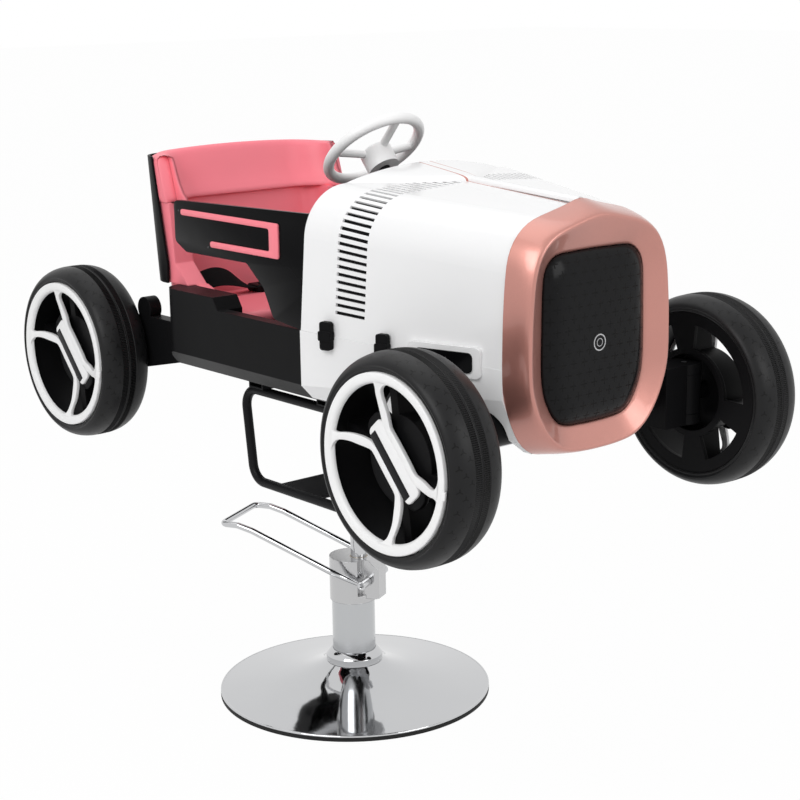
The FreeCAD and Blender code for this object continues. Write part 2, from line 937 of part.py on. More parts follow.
def wall_points(section, share, width_share):
    """Two points on the section's left half, a slot's height apart along the curve."""
    edges = section.OrderedEdges[:4]
    total = sum(edge.Length for edge in edges)
    found = []
    for target in (share * total, (share + width_share) * total):
        left = target
        for edge in edges:
            if left <= edge.Length:
                break
            left -= edge.Length
        found.append(edge.valueAt(edge.getParameterByLength(min(left, edge.Length))))
    return found


def hood_cover():
    outer = hood_solid(hood_rear, hood_front, 0, 0)
    inner = hood_solid(hood_rear - overrun, hood_front + overrun, hood_wall, overrun)
    slots = louvre_slots()
    shell = outer.cut([inner] + slots + [mirrored(slot) for slot in slots])
    return joined(shell, hood_spine().cut(inner))


def hood_liner():
    rear = louvre_front - louvre_length - liner_margin
    front = louvre_front + liner_margin
    inset = hood_wall + seat_gap
    outer = hood_solid(hood_rear, hood_front, inset, 0)
    inner = hood_solid(hood_rear, hood_front, inset + liner_wall, overrun)
    band = block((-hood_rear_half_width, hood_rear_half_width), (-front, -rear), (hood_front_seam, hood_rear_crown))
    return outer.cut(inner).common(band)


def lower_side_section(place):
    half = hood_half_width(place) + side_outset
    bottom = along_hood(side_rear_bottom, side_front_bottom, place)
    tuck = along_hood(side_tuck, side_front_tuck, place)
    turn_height = along_hood(side_turn_height, side_front_turn_height, place)
    turn = bottom + turn_height
    lip = bottom + turn_height * side_lip_share
    seam = hood_seam_at(place)
    mid = half - tuck * side_turn_share
    return polygon([
        point(half, -place, seam),
        point(half, -place, turn),
        point(mid, -place, lip),
        point(half - tuck, -place, bottom),
        point(half - tuck, -place, bottom + hood_wall),
        point(mid - hood_wall / 2, -place, lip + hood_wall),
        point(half - hood_wall, -place, turn + hood_wall / 2),
        point(half - hood_wall, -place, seam),
    ])


def side_placed(shape, place, outset):
    """Puts a shape built on the plane x = 0 against the tapered left body side."""
    moved = shape.copy()
    moved.translate(right * outset)
    moved.rotate(origin, up, -taper_deg)
    moved.translate(point(hood_half_width(place), -place, 0))
    return moved


def flat_pad(length, height, thickness, corner, middle):
    corners = [
        point(0, -length / 2, middle - height / 2),
        point(0, length / 2, middle - height / 2),
        point(0, length / 2, middle + height / 2),
        point(0, -length / 2, middle + height / 2),
    ]
    return plate(rounded(corners, [corner] * len(corners)), right * thickness)


def lower_body_sides():
    skirt = loft(lower_side_section(hood_rear), lower_side_section(hood_front))
    room = beam_radius + beam_clearance
    beam_room = joined(beam_cylinder(room), block((0, beam_half_length), (-beam_place - room, -beam_place + room),
                                                  (0, beam_height)))
    under_hood = hood_solid(hood_rear, hood_front, 0, 0)
    pad = flat_pad(pad_length, pad_height, pad_thickness + hood_wall / 2, badge_corner, pad_middle)
    pad = side_placed(pad, pad_place, side_outset - hood_wall / 2)
    return pair(joined(skirt, pad).cut([beam_room, chassis_tub(), under_hood]))


def hood_plates():
    badge = flat_pad(badge_length, badge_height, badge_thickness, badge_corner, pad_middle)
    return pair(side_placed(badge, pad_place, side_outset + pad_thickness))


def hood_latches():
    clips = []
    for place, middle in ((latch_rear_place, latch_middle), (latch_front_place, latch_middle - latch_front_drop)):
        body = flat_pad(latch_width, latch_height, latch_thickness, latch_thickness / 2, middle)
        band = flat_pad(latch_width + latch_band_extra, latch_band_height,
                        latch_thickness + latch_band_extra, latch_band_extra, middle)
        clip = side_placed(joined(body, band), place, side_outset + seat_gap)
        clips.extend([clip, mirrored(clip)])
    return Part.makeCompound(clips)


# Grille

def shield_outline(place, inset, top, bottom, half, shoulder, knee, foot):
    """Shield outline; shoulder, knee and foot are (width share, height, radius) on one side."""
    half_width = half - inset
    top_z = top - inset
    bottom_z = bottom + inset
    right_side = [
        (half_width * shoulder[0], top_z - shoulder[1], shoulder[2] - inset),
        (half_width * knee[0], bottom_z + knee[1], knee[2]),
        (half_width * foot[0], bottom_z + foot[1], foot[2] - inset),
    ]
    corners = [point(0, -place, top_z)]
    radii = [half_width * outline_apex_share]
    for x, z, radius in right_side:
        corners.append(point(x, -place, z))
        radii.append(radius)
    corners.append(point(0, -place, bottom_z))
    radii.append(half_width)
    for x, z, radius in reversed(right_side):
        corners.append(point(-x, -place, z))
        radii.append(radius)
    return rounded(corners, radii)


def ring_outer_outline(place):
    return shield_outline(place, 0, ring_outer_top, ring_outer_bottom, ring_outer_half_width,
                          (ring_shoulder_share, ring_shoulder_drop, ring_shoulder_radius),
                          (1, ring_knee_rise, ring_knee_radius),
                          (ring_foot_share, outline_foot_rise, ring_foot_radius))


def crease_outline(place, inset):
    return shield_outline(place, inset, crease_top, crease_bottom, crease_half_width,
                          (ring_shoulder_share, ring_shoulder_drop, crease_shoulder_radius),
                          (1, crease_knee_rise, ring_knee_radius),
                          (crease_foot_share, outline_foot_rise, crease_foot_radius))


def panel_outline(place, inset):
    return shield_outline(place, inset, panel_top, panel_bottom, panel_half_width,
                          (panel_shoulder_share, panel_shoulder_drop, panel_shoulder_radius),
                          (1, panel_knee_rise, panel_knee_radius),
                          (panel_foot_share, outline_foot_rise, panel_foot_radius))


def grille_ring():
    outer = loft(ring_outer_outline(hood_front), crease_outline(ring_crease, 0))
    mouth = loft(panel_outline(panel_place, 0), crease_outline(ring_crease, crease_land))
    throat = plate(panel_outline(hood_front - overrun, 0), -back * (panel_place - hood_front + overrun))
    return outer.cut([mouth, throat])


def grille_panel():
    front = panel_place + panel_bulge
    bulge = loft(panel_outline(panel_place, seat_gap), panel_outline(front, panel_inset))
    backing = plate(panel_outline(panel_place, seat_gap), back * panel_thickness)
    return joined(bulge, backing)


# Steering

rise = math.radians(wheel_rise_deg)
wheel_centre = point(0, -wheel_place, wheel_height)
column_up = point(0, math.sin(rise), math.cos(rise))
wheel_front = point(0, -math.cos(rise), math.sin(rise))
column_top = wheel_centre - column_up * (wheel_hub_drop + wheel_hub_depth / 2)
column_foot = column_top - column_up * ((column_top.z - nose_top - column_foot_rise) / column_up.z)


def steering_wheel():
    rim = Part.makeTorus(wheel_radius, wheel_tube_radius, wheel_centre, column_up)
    hub_top = wheel_centre - column_up * wheel_hub_drop
    hub = rod(wheel_hub_radius, hub_top - column_up * wheel_hub_depth, hub_top)
    spokes = []
    for heading in (right, -right, wheel_front):
        spokes.append(rod(wheel_spoke_radius, hub_top - column_up * wheel_spoke_radius,
                          wheel_centre + heading * wheel_radius))
    solid = joined(hub, rim, *spokes)
    pocket = rod(horn_radius + seat_gap, hub_top - column_up * horn_pocket_depth, hub_top + column_up * horn_height)
    socket_foot = hub_top - column_up * (wheel_hub_depth + overrun)
    socket = rod(column_radius, socket_foot, hub_top - column_up * (wheel_hub_depth / 2))
    return solid.cut([pocket, socket])


def steering_column():
    return rod(column_radius, column_foot, column_top)


def horn_button():
    hub_top = wheel_centre - column_up * wheel_hub_drop
    foot = hub_top - column_up * (horn_pocket_depth - horn_travel - seat_gap)
    return rod(horn_radius, foot, foot + column_up * horn_height)


def column_bracket():
    """Foot bearing of the column, standing on the nose of the chassis."""
    middle = column_foot + column_up * bracket_length
    sleeve = rod(bracket_radius, column_foot, middle)
    half = bracket_radius
    stand_rear = -column_foot.y - bracket_radius
    stand = block((-half, half), (-stand_rear - bracket_length - bracket_radius, -stand_rear - bracket_radius),
                  (nose_top, column_foot.z + bracket_radius / 2))
    below = block((-nose_half_width, nose_half_width), (-nose_front, 0), (0, nose_top))
    bore = rod(column_radius + running_fit, column_foot - column_up * bracket_length, middle + column_up * overrun)
    return joined(sleeve, stand).cut([below, bore])


def dash_panel():
    outline = hood_section(dash_place, hood_wall + liner_wall + seat_gap + seat_gap, dash_bottom)
    panel = plate(outline, -back * dash_thickness)
    far = point(0, -dash_place, 0)
    reach = (dash_place - wheel_place) / math.sin(rise)
    through = wheel_centre - column_up * reach
    hole = rod(column_radius + running_fit, through - column_up * socket_length, through + column_up * socket_length)
    return panel.cut([hole, side_panel(), mirrored(side_panel())])


# Seat

def plan_loop(half, rear, corner, front, bottom):
    corners = [
        point(-half, front, bottom),
        point(-half, rear, bottom),
        point(half, rear, bottom),
        point(half, front, bottom),
    ]
    return rounded(corners, [0, corner, corner, 0])


def side_profile(outline):
    far = seat_outer_half_width + tub_side_wall + tub_side_wall
    corners = [point(-far, y, z) for y, z in outline]
    return plate(polygon(corners), right * (far + far))


def seat_lean(height):
    """How far the seat's back has come forward at a height, below the band's top edge."""
    return seat_rake * (band_top - height) / (band_top - shell_bottom)


def raked(half, rear, corner, front, bottom, top):
    return loft(plan_loop(half, rear - seat_lean(bottom), corner, front, bottom),
                plan_loop(half, rear - seat_lean(top), corner, front, top))


def shell_ring(half, rear, corner, wall_side, wall_back, bottom, top):
    """U-shaped wall in plan, its back leaning: two wings and a back joined by round corners."""
    outer = raked(half, rear, corner, 0, bottom, top)
    return outer.cut(raked(half - wall_side, rear - wall_back, corner - wall_back, -overrun,
                           bottom - overrun, top + overrun))


seat_rear = seat_back + seat_back_wall
tier_half_width = seat_outer_half_width - band_overhang


def seat_bucket():
    walls = shell_ring(tier_half_width, seat_rear - band_overhang, seat_corner - band_overhang,
                       seat_wing_wall - band_overhang + tier_inset, seat_back_wall - band_overhang + tier_inset,
                       tub_block_top, tier_top)
    keep = side_profile([
        (tier_pillar_front, tier_top + overrun),
        (tier_pillar_front, tier_top),
        (tier_waist_front, tier_waist_height),
        (tier_foot_front, tub_block_top),
        (tier_foot_front, tub_block_top - overrun),
        (seat_rear + overrun, tub_block_top - overrun),
        (seat_rear + overrun, tier_top + overrun),
    ])
    walls = walls.common(keep)
    base = block((-seat_base_half_width, seat_base_half_width), (seat_pan_front, tub_rear), (well_floor, seat_pan))
    lip = rod(seat_pan_lip, point(-seat_base_half_width, seat_pan_front, seat_pan - seat_pan_lip),
              point(seat_base_half_width, seat_pan_front, seat_pan - seat_pan_lip))
    tier_inner = seat_inner_half_width - tier_inset
    base_end = seat_back - seat_lean(seat_pan - seat_pan_lip - seat_pan_lip)
    rear_base = block((-tier_inner - overrun, tier_inner + overrun), (tub_rear - overrun, base_end),
                      (seat_pan - seat_pan_lip - seat_pan_lip, seat_pan))
    cheeks = shell_ring(seat_base_half_width, seat_rear - band_overhang, seat_corner - tier_inset - band_overhang,
                        seat_base_half_width - tier_inner, seat_back_wall - band_overhang + tier_inset,
                        seat_pan - seat_pan_lip, tub_block_top)
    cheek_keep = side_profile([
        (tier_foot_front, tub_block_top + overrun),
        (seat_pan_front, seat_pan),
        (seat_pan_front, seat_pan - seat_pan_lip - overrun),
        (seat_rear + overrun, seat_pan - seat_pan_lip - overrun),
        (seat_rear + overrun, tub_block_top + overrun),
    ])
    return joined(walls, base, lip, rear_base, cheeks.common(cheek_keep))


def headrest_band():
    band = shell_ring(seat_outer_half_width, seat_rear, seat_corner, seat_wing_wall, seat_back_wall, tier_top, band_top)
    keep = side_profile([
        (band_foot_front, tier_top - overrun),
        (band_top_front, band_top - band_crown),
        (seat_rear - seat_corner, band_top),
        (seat_rear + overrun, band_top),
        (seat_rear + overrun, tier_top - overrun),
    ])
    return band.common(keep)


def rear_shell():
    shell = shell_ring(seat_outer_half_width + shell_wall, seat_rear + shell_wall, seat_corner + shell_wall,
                       shell_wall - seat_gap, shell_wall - seat_gap, shell_bottom, band_top - band_crown - seat_gap)
    keep = side_profile([
        (tier_waist_front + shell_front_gap, shell_bottom - overrun),
        (tier_waist_front + shell_front_gap, tier_waist_height),
        (band_top_front + shell_front_gap, band_top),
        (seat_rear + seat_corner, band_top),
        (seat_rear + seat_corner, shell_bottom - overrun),
    ])
    return shell.common(keep)


def belt_ribbon():
    """One lap belt: webbing that leaves the seat side, arches and drops to the buckle."""
    anchor_z = seat_pan + seat_gap
    stations = [
        point(belt_anchor - seat_pan_lip, 0, anchor_z),
        point(belt_crest, 0, anchor_z + belt_rise),
        point(buckle_length / 2, 0, anchor_z + belt_thickness),
    ]
    arch = Part.Arc(*stations)
    lower = arch.toShape()
    lift = up * belt_thickness
    upper = Part.Arc(*[station + lift for station in stations]).toShape()
    ends = [Part.LineSegment(stations[0], stations[0] + lift).toShape(),
            Part.LineSegment(stations[2], stations[2] + lift).toShape()]
    outline = Part.Wire(Part.__sortEdges__([lower, ends[1], upper, ends[0]]))
    ribbon = plate(outline, back * belt_width)
    ribbon.translate(back * (belt_place - belt_width / 2))
    return ribbon


def lap_belts():
    return pair(belt_ribbon())


def belt_buckle():
    half = buckle_length / 2
    return block((-half, half), (belt_place - buckle_width / 2, belt_place + buckle_width / 2),
                 (seat_pan, seat_pan + buckle_height))


# Side panels

def side_panel():
    outline = [
        (panel_rear, panel_top_rear, panel_corner),
        (panel_rear, panel_rear_foot, panel_corner),
        (panel_sill_rear, panel_sill, panel_corner),
        (panel_sill_front, panel_sill, panel_corner),
        (panel_cheek, panel_cheek_height, panel_corner),
        (panel_heel, panel_heel_height, panel_corner),
        (panel_toe, tub_deck, 0),
        (panel_front, tub_deck, 0),
        (panel_front, panel_top_front, 0),
    ]
    corners = [point(tub_half_width - panel_plate, y, z) for y, z, radius in outline]
    panel = plate(rounded(corners, [radius for y, z, radius in outline]), right * panel_plate)
    under_hood = block((0, hood_rear_half_width), (panel_front, -hood_rear + seat_gap), (0, hood_rear_crown))
    room = hood_solid(hood_rear - seat_gap, hood_front, hood_wall + seat_gap, hood_seam_rise + overrun)
    return panel.cut(under_hood.cut(room))


def side_rails():
    lower_bar_top = rail_bottom + rail_bar
    upper_bar_bottom = rail_top - rail_bar
    outline = [
        (rail_top_rear, rail_top - rail_bar / 2 + rail_bar / 2),
        (rail_front, rail_top),
        (rail_front, rail_bottom),
        (rail_lower_rear, rail_bottom),
        (rail_lower_rear, lower_bar_top),
        (rail_front + rail_block, lower_bar_top),
        (rail_front + rail_block, upper_bar_bottom),
        (rail_top_rear, upper_bar_bottom),
    ]
    corners = [point(tub_half_width, y, z) for y, z in outline]
    rail = plate(rounded(corners, [rail_corner] * len(corners)), right * rail_thickness)
    return pair(rail)


# Front axle

def front_axle():
    solid = beam_cylinder(beam_radius)
    knuckle_room = None
    for side in (-1, 1):
        x = side * kingpin_place
        inner, outer = sorted((side * yoke_inner, x))
        place = (-front_axle_place - yoke_half_width, -front_axle_place + yoke_half_width)
        yoke = block((inner, outer), place, (ear_bottom, ear_top))
        ears = upright(ear_radius, x, -front_axle_place, (ear_bottom, ear_top))
        solid = joined(solid, yoke, ears)
        room = upright(ear_radius + knuckle_gap, x, -front_axle_place,
                       (ear_bottom + ear_thickness, ear_top - ear_thickness))
        solid = solid.cut([room, upright(kingpin_radius, x, -front_axle_place, (0, ear_top + overrun))])
    return solid


def kingpins():
    return pair(upright(kingpin_radius, kingpin_place, -front_axle_place, (ear_bottom, ear_top)))


def knuckle():
    """Left steering knuckle: barrel on the kingpin, stub axle and steering arm."""
    centre_y = -front_axle_place
    foot = ear_bottom + ear_thickness + knuckle_gap
    head = ear_top - ear_thickness - knuckle_gap
    barrel = upright(knuckle_radius, kingpin_place, centre_y, (foot, head))
    start = point(kingpin_place, centre_y, wheel_axis_height)
    hub_inner = front_rim_plane - cup_depth - knuckle_gap
    shoulder = rod(axle_shoulder_radius, start, point(hub_inner, centre_y, wheel_axis_height))
    axle = rod(axle_radius, start, point(front_rim_plane - axle_end_depth, centre_y, wheel_axis_height))
    pad_centre = point(kingpin_place, centre_y + arm_reach, arm_bottom)
    pad = rod(arm_pad_radius, pad_centre, pad_centre + up * arm_thickness)
    arm = plate(polygon([
        point(kingpin_place - arm_half_width, centre_y, arm_bottom),
        point(pad_centre.x - arm_half_width, pad_centre.y, arm_bottom),
        point(pad_centre.x + arm_half_width, pad_centre.y, arm_bottom),
        point(kingpin_place + arm_half_width, centre_y, arm_bottom),
    ]), up * arm_thickness)
    solid = joined(barrel, shoulder, axle, pad, arm)
    pin_hole = upright(kingpin_radius + running_fit, kingpin_place, centre_y, (0, ear_top))
    rod_hole = rod(arm_hole_radius, pad_centre - up, pad_centre + up * (arm_thickness + overrun))
    return solid.cut([pin_hole, rod_hole])


def tie_rod():
    tie_rod_height = arm_bottom - tie_rod_radius - seat_gap
    y = -front_axle_place + arm_reach
    x = kingpin_place
    pin_top = arm_bottom + arm_thickness + overrun
    solid = rod(tie_rod_radius, point(-x - tie_rod_radius, y, tie_rod_height), point(x + tie_rod_radius, y, tie_rod_height))
    for side in (-1, 1):
        solid = joined(solid, upright(tie_pin_radius, side * x, y, (tie_rod_height, pin_top)))
    return solid


# Rear axle

def rear_axle_housing():
    profile = [
        (rear_arm_front, rear_arm_foot),
        (rear_arm_front, rear_arm_top),
        (rear_arm_knee, rear_arm_top),
        (rear_axle_place, wheel_axis_height + rear_arm_end_radius),
        (rear_axle_place, wheel_axis_height - rear_arm_end_radius),
        (rear_arm_knee, rear_arm_bottom),
    ]
    inner = rear_arm_outer - rear_arm_width
    arms = []
    for side in (-1, 1):
        near, far = sorted((side * inner, side * rear_arm_outer))
        arm = plate(polygon([point(near, y, z) for y, z in profile]), right * (far - near))
        end = rod(rear_arm_end_radius, point(near, rear_axle_place, wheel_axis_height),
                  point(far, rear_axle_place, wheel_axis_height))
        start = point(side * drum_inner, drum_place, drum_height)
        drum = rod(drum_radius, start, point(side * rear_arm_outer, drum_place, drum_height))
        arms.append(joined(arm, end, drum))
    tube_start = point(-inner, rear_axle_place, wheel_axis_height)
    tube = rod(rear_tube_radius, tube_start, point(inner, rear_axle_place, wheel_axis_height))
    cross = block((-inner, inner), (rear_arm_front, tub_rear), (rear_arm_foot, well_floor))
    solid = joined(tube, cross, *arms)
    shaft = rod(axle_radius, point(-rear_rim_plane, rear_axle_place, wheel_axis_height),
                point(rear_rim_plane, rear_axle_place, wheel_axis_height))
    return solid.cut([shaft, chassis_tub()])


def rear_axle_shaft():
    y, z = rear_axle_place, wheel_axis_height
    end = rear_rim_plane - axle_end_depth
    solid = rod(axle_radius, point(-end, y, z), point(end, y, z))
    hub_inner = rear_rim_plane - cup_depth - knuckle_gap
    for side in (-1, 1):
        start = point(side * rear_arm_outer, y, z)
        solid = joined(solid, rod(axle_shoulder_radius, start, point(side * hub_inner, y, z)))
    return solid


# Wheels, built with the rim plane on x = 0 and the wheel body toward -x

def tyre():
    far_face = tyre_width - tyre_bead_depth
    profile = [
        (tyre_bead_radius, tyre_bead_depth),
        (tyre_face_radius, 0),
        (tyre_radius, tyre_shoulder),
        (tyre_radius, tyre_width - tyre_shoulder),
        (tyre_face_radius, tyre_width),
        (tyre_bead_radius, far_face),
    ]
    near = tyre_bead_depth + tyre_wall
    hollow = [
        (tyre_bead_radius - overrun, near),
        (tyre_face_radius, near),
        (tyre_radius - tyre_wall, tyre_shoulder),
        (tyre_radius - tyre_wall, tyre_width - tyre_shoulder),
        (tyre_face_radius, tyre_width - near),
        (tyre_bead_radius - overrun, tyre_width - near),
    ]
    radii = [0, tyre_face_corner, tyre_shoulder_radius, tyre_shoulder_radius, tyre_face_corner, 0]
    return turned(profile, origin, -right, back, radii).cut(turned(hollow, origin, -right, back))


def sector(inner, outer, start_deg, end_deg, x_span):
    """Ring sector in the wheel plane, angles counted from -Y towards +Z."""
    def at(radius, angle):
        turn = math.radians(angle)
        return point(x_span[0], -radius * math.cos(turn), radius * math.sin(turn))
    middle = (start_deg + end_deg) / 2
    edges = [
        Part.Arc(at(outer, start_deg), at(outer, middle), at(outer, end_deg)).toShape(),
        Part.LineSegment(at(outer, end_deg), at(inner, end_deg)).toShape(),
        Part.Arc(at(inner, end_deg), at(inner, middle), at(inner, start_deg)).toShape(),
        Part.LineSegment(at(inner, start_deg), at(outer, start_deg)).toShape(),
    ]
    return plate(Part.Wire(edges), right * (x_span[1] - x_span[0]))


def rim_web(angle):
    """Deep spoke between the drum and the barrel, behind an arm of the cover."""
    turn = math.radians(angle)
    along = point(0, -math.cos(turn), math.sin(turn))
    side = point(0, math.sin(turn), math.cos(turn)) * (web_thickness / 2)
    near = along * (drum_outer_radius - drum_wall / 2) - right * drum_face_depth
    far = along * (tyre_bead_radius - rim_wall) - right * drum_face_depth
    return plate(polygon([near - side, far - side, far + side, near + side]), -right * (rim_depth - drum_face_depth))


def wheel_rim():
    outer = tyre_bead_radius - rim_fit
    profile = [
        (axle_radius + running_fit, drum_face_depth),
        (drum_outer_radius, drum_face_depth),
        (drum_outer_radius, rim_depth - rim_disc),
        (outer - rim_wall, rim_depth - rim_disc),
        (outer - rim_wall, cover_ring_thickness),
        (outer, cover_ring_thickness),
        (outer, rim_depth),
        (drum_outer_radius - drum_wall, rim_depth),
        (drum_outer_radius - drum_wall, cup_depth),
        (axle_radius + running_fit, cup_depth),
    ]
    solid = turned(profile, origin, -right, back)
    webs = []
    for end in (0, 180):
        for side in (-1, 1):
            webs.append(rim_web(cover_bar_deg + end + side * cover_spoke_ring_deg))
    solid = joined(solid, *webs)
    windows = []
    for end in (0, 90, 180, 270):
        across = end % 180
        half = abs(across - cover_spoke_ring_deg) - window_spoke_half_deg
        windows.append(sector(window_inner_radius, window_outer_radius, cover_bar_deg + end - half,
                              cover_bar_deg + end + half, (-rim_depth - overrun, -rim_depth + rim_disc + overrun)))
    return solid.cut(windows)


def cover_spoke(ring_deg, root_deg):
    """Curved arm from the outer ring down to a corner of the recessed centre plate."""
    ring = (cover_ring_inner + cover_ring_outer) / 2
    bend = (ring_deg + root_deg) / 2 + (ring_deg - root_deg) * cover_spoke_bend_share
    mid_radius = (ring + cover_spoke_root_radius) / 2
    mid_depth = (cover_bar_depth + cover_bar_thickness) * cover_spoke_bend_share
    stations = [
        (ring, ring_deg, 0, cover_spoke_flare),
        (mid_radius, bend, mid_depth, cover_spoke_width),
        (cover_spoke_root_radius, root_deg, cover_bar_depth + cover_bar_thickness - cover_spoke_thickness / 2,
         cover_spoke_width),
    ]
    wires = []
    for radius, angle, depth, width in stations:
        turn = math.radians(cover_bar_deg + angle)
        middle = point(-depth, -radius * math.cos(turn), radius * math.sin(turn))
        side = point(0, math.sin(turn), math.cos(turn)) * (width / 2)
        thick = -right * cover_spoke_thickness
        wires.append(polygon([middle - side, middle + side, middle + side + thick, middle - side + thick]))
    return loft(*wires)


def wheel_cover():
    chamfer = cover_ring_thickness / 2
    ring = turned([
        (cover_ring_inner, chamfer),
        (cover_ring_inner + chamfer, 0),
        (cover_ring_outer, 0),
        (cover_ring_outer, cover_ring_thickness),
        (cover_ring_inner, cover_ring_thickness),
    ], origin, -right, back)
    bar_corners = []
    plate_corners = []
    for along, across in ((-1, -1), (1, -1), (1, 1), (-1, 1)):
        bar_corners.append(point(-cover_bar_depth, along * cover_bar_length / 2, across * cover_bar_width / 2))
        plate_corners.append(point(-cover_bar_depth - cover_bar_thickness,
                                   along * cover_plate_length / 2, across * cover_plate_width / 2))
    corner = cover_bar_thickness
    bar = plate(rounded(bar_corners, [corner] * len(bar_corners)), -right * cover_bar_thickness)
    base_thickness = drum_face_depth - cover_bar_depth - cover_bar_thickness
    base = plate(rounded(plate_corners, [corner] * len(plate_corners)), -right * base_thickness)
    centre = joined(bar, base)
    centre.rotate(origin, right, -cover_bar_deg)
    spokes = []
    for end in (0, 180):
        for side in (-1, 1):
            spokes.append(cover_spoke(end + side * cover_spoke_ring_deg, end + side * cover_spoke_root_deg))
    return joined(ring, centre, *spokes)


def wheel_parts(name, place, rim_plane, on_right):
    parts = {}
    for piece, shape in (("tyre", tyre()), ("wheel_rim", wheel_rim()), ("wheel_cover", wheel_cover())):
        moved = shape.copy()
        moved.translate(point(rim_plane, place, wheel_axis_height))
        parts[piece + "_" + name] = mirrored(moved) if on_right else moved
    return parts


parts = {
    "base_plate": pump_placed(base_plate()),
    "base_ballast": pump_placed(base_ballast()),
    "base_rubber_ring": pump_placed(base_rubber_ring()),
    "base_collar": pump_placed(base_collar()),
    "pump_cylinder": pump_placed(pump_cylinder()),
    "pump_head": pump_placed(pump_head()),
    "lever_housing": pump_placed(lever_housing()),
    "pressure_cylinder": pump_placed(pressure_cylinder()),
    "ram_bush": ram_bush(),
    "ram_rod": ram_rod(),
    "ram_piston": ram_piston(),
    "foot_pedal": foot_pedal(),
    "pedal_cam": pump_placed(pedal_cam()),
    "pump_plunger": pump_placed(pump_plunger()),
    "swivel_socket": swivel_socket(),
    "cradle_loop_left": cradle_loop(),
    "cradle_loop_right": mirrored(cradle_loop()),
    "cradle_plate": cradle_plate(),
    "cross_rails": cross_rails(),
    "chassis_tub": chassis_tub(),
    "hood_cover": hood_cover(),
    "hood_liner": hood_liner(),
    "lower_body_sides": lower_body_sides(),
    "hood_plates": hood_plates(),
    "hood_latches": hood_latches(),
    "grille_ring": grille_ring(),
    "grille_panel": grille_panel(),
    "dash_panel": dash_panel(),
    "steering_wheel": steering_wheel(),
    "steering_column": steering_column(),
    "horn_button": horn_button(),
    "column_bracket": column_bracket(),
    "seat_bucket": seat_bucket(),
    "headrest_band": headrest_band(),
    "rear_shell": rear_shell(),
    "lap_belts": lap_belts(),
    "belt_buckle": belt_buckle(),
    "side_panel_left": side_panel(),
    "side_panel_right": mirrored(side_panel()),
    "side_rails": side_rails(),
    "front_axle": front_axle(),
    "kingpins": kingpins(),
    "knuckle_left": knuckle(),
    "knuckle_right": mirrored(knuckle()),
    "tie_rod": tie_rod(),
    "rear_axle_housing": rear_axle_housing(),
    "rear_axle_shaft": rear_axle_shaft(),
}
parts.update(wheel_parts("front_left", -front_axle_place, front_rim_plane, False))
parts.update(wheel_parts("front_right", -front_axle_place, front_rim_plane, True))
parts.update(wheel_parts("rear_left", rear_axle_place, rear_rim_plane, False))
parts.update(wheel_parts("rear_right", rear_axle_place, rear_rim_plane, True))

os.makedirs("parts", exist_ok=True)
for name, shape in parts.items():
    shape.exportStep("parts/" + name + ".step")
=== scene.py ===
import bmesh
import bpy
import math
from mathutils import Matrix, Vector


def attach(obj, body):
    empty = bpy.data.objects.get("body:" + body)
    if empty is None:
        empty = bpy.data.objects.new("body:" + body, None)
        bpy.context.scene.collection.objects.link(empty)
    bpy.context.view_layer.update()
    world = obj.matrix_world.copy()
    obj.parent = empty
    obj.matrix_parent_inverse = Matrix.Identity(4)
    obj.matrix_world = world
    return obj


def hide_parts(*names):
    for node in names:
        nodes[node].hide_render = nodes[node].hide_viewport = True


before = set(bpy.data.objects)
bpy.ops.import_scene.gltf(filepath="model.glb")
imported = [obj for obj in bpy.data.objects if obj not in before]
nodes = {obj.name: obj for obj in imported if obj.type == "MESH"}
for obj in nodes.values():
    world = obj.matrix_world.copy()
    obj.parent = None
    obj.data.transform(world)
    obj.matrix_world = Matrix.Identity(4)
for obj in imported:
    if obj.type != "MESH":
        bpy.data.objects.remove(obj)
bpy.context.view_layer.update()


# Base: a spun steel trumpet plate with mirror chrome, standing on a cast iron ballast
# disc. A black rubber strip grips the plate's rim, and a bevelled collar covers the
# joint between the plate and the pump tube.

class Shade:
    """One output of a material's nodes; sums of these add their own Math nodes."""

    def __init__(self, finish, socket):
        self.finish = finish
        self.socket = socket

    def maths(self, operation, first, second=0.0):
        return self.finish.node("ShaderNodeMath", {"operation": operation}, {0: first, 1: second})

    def __add__(self, other):
        return self.maths("ADD", self, other)

    def __sub__(self, other):
        return self.maths("SUBTRACT", self, other)

    def __rsub__(self, other):
        return self.maths("SUBTRACT", other, self)

    def __mul__(self, other):
        return self.maths("MULTIPLY", self, other)

    def __gt__(self, other):
        return self.maths("GREATER_THAN", self, other)

    def __lt__(self, other):
        return self.maths("LESS_THAN", self, other)

    __radd__ = __add__
    __rmul__ = __mul__

    def of(self, operation):
        return self.maths(operation, self)

    def fraction(self):
        return self - self.of("FLOOR")

    def part(self, name):
        return Shade(self.finish, self.socket.node.outputs[name])


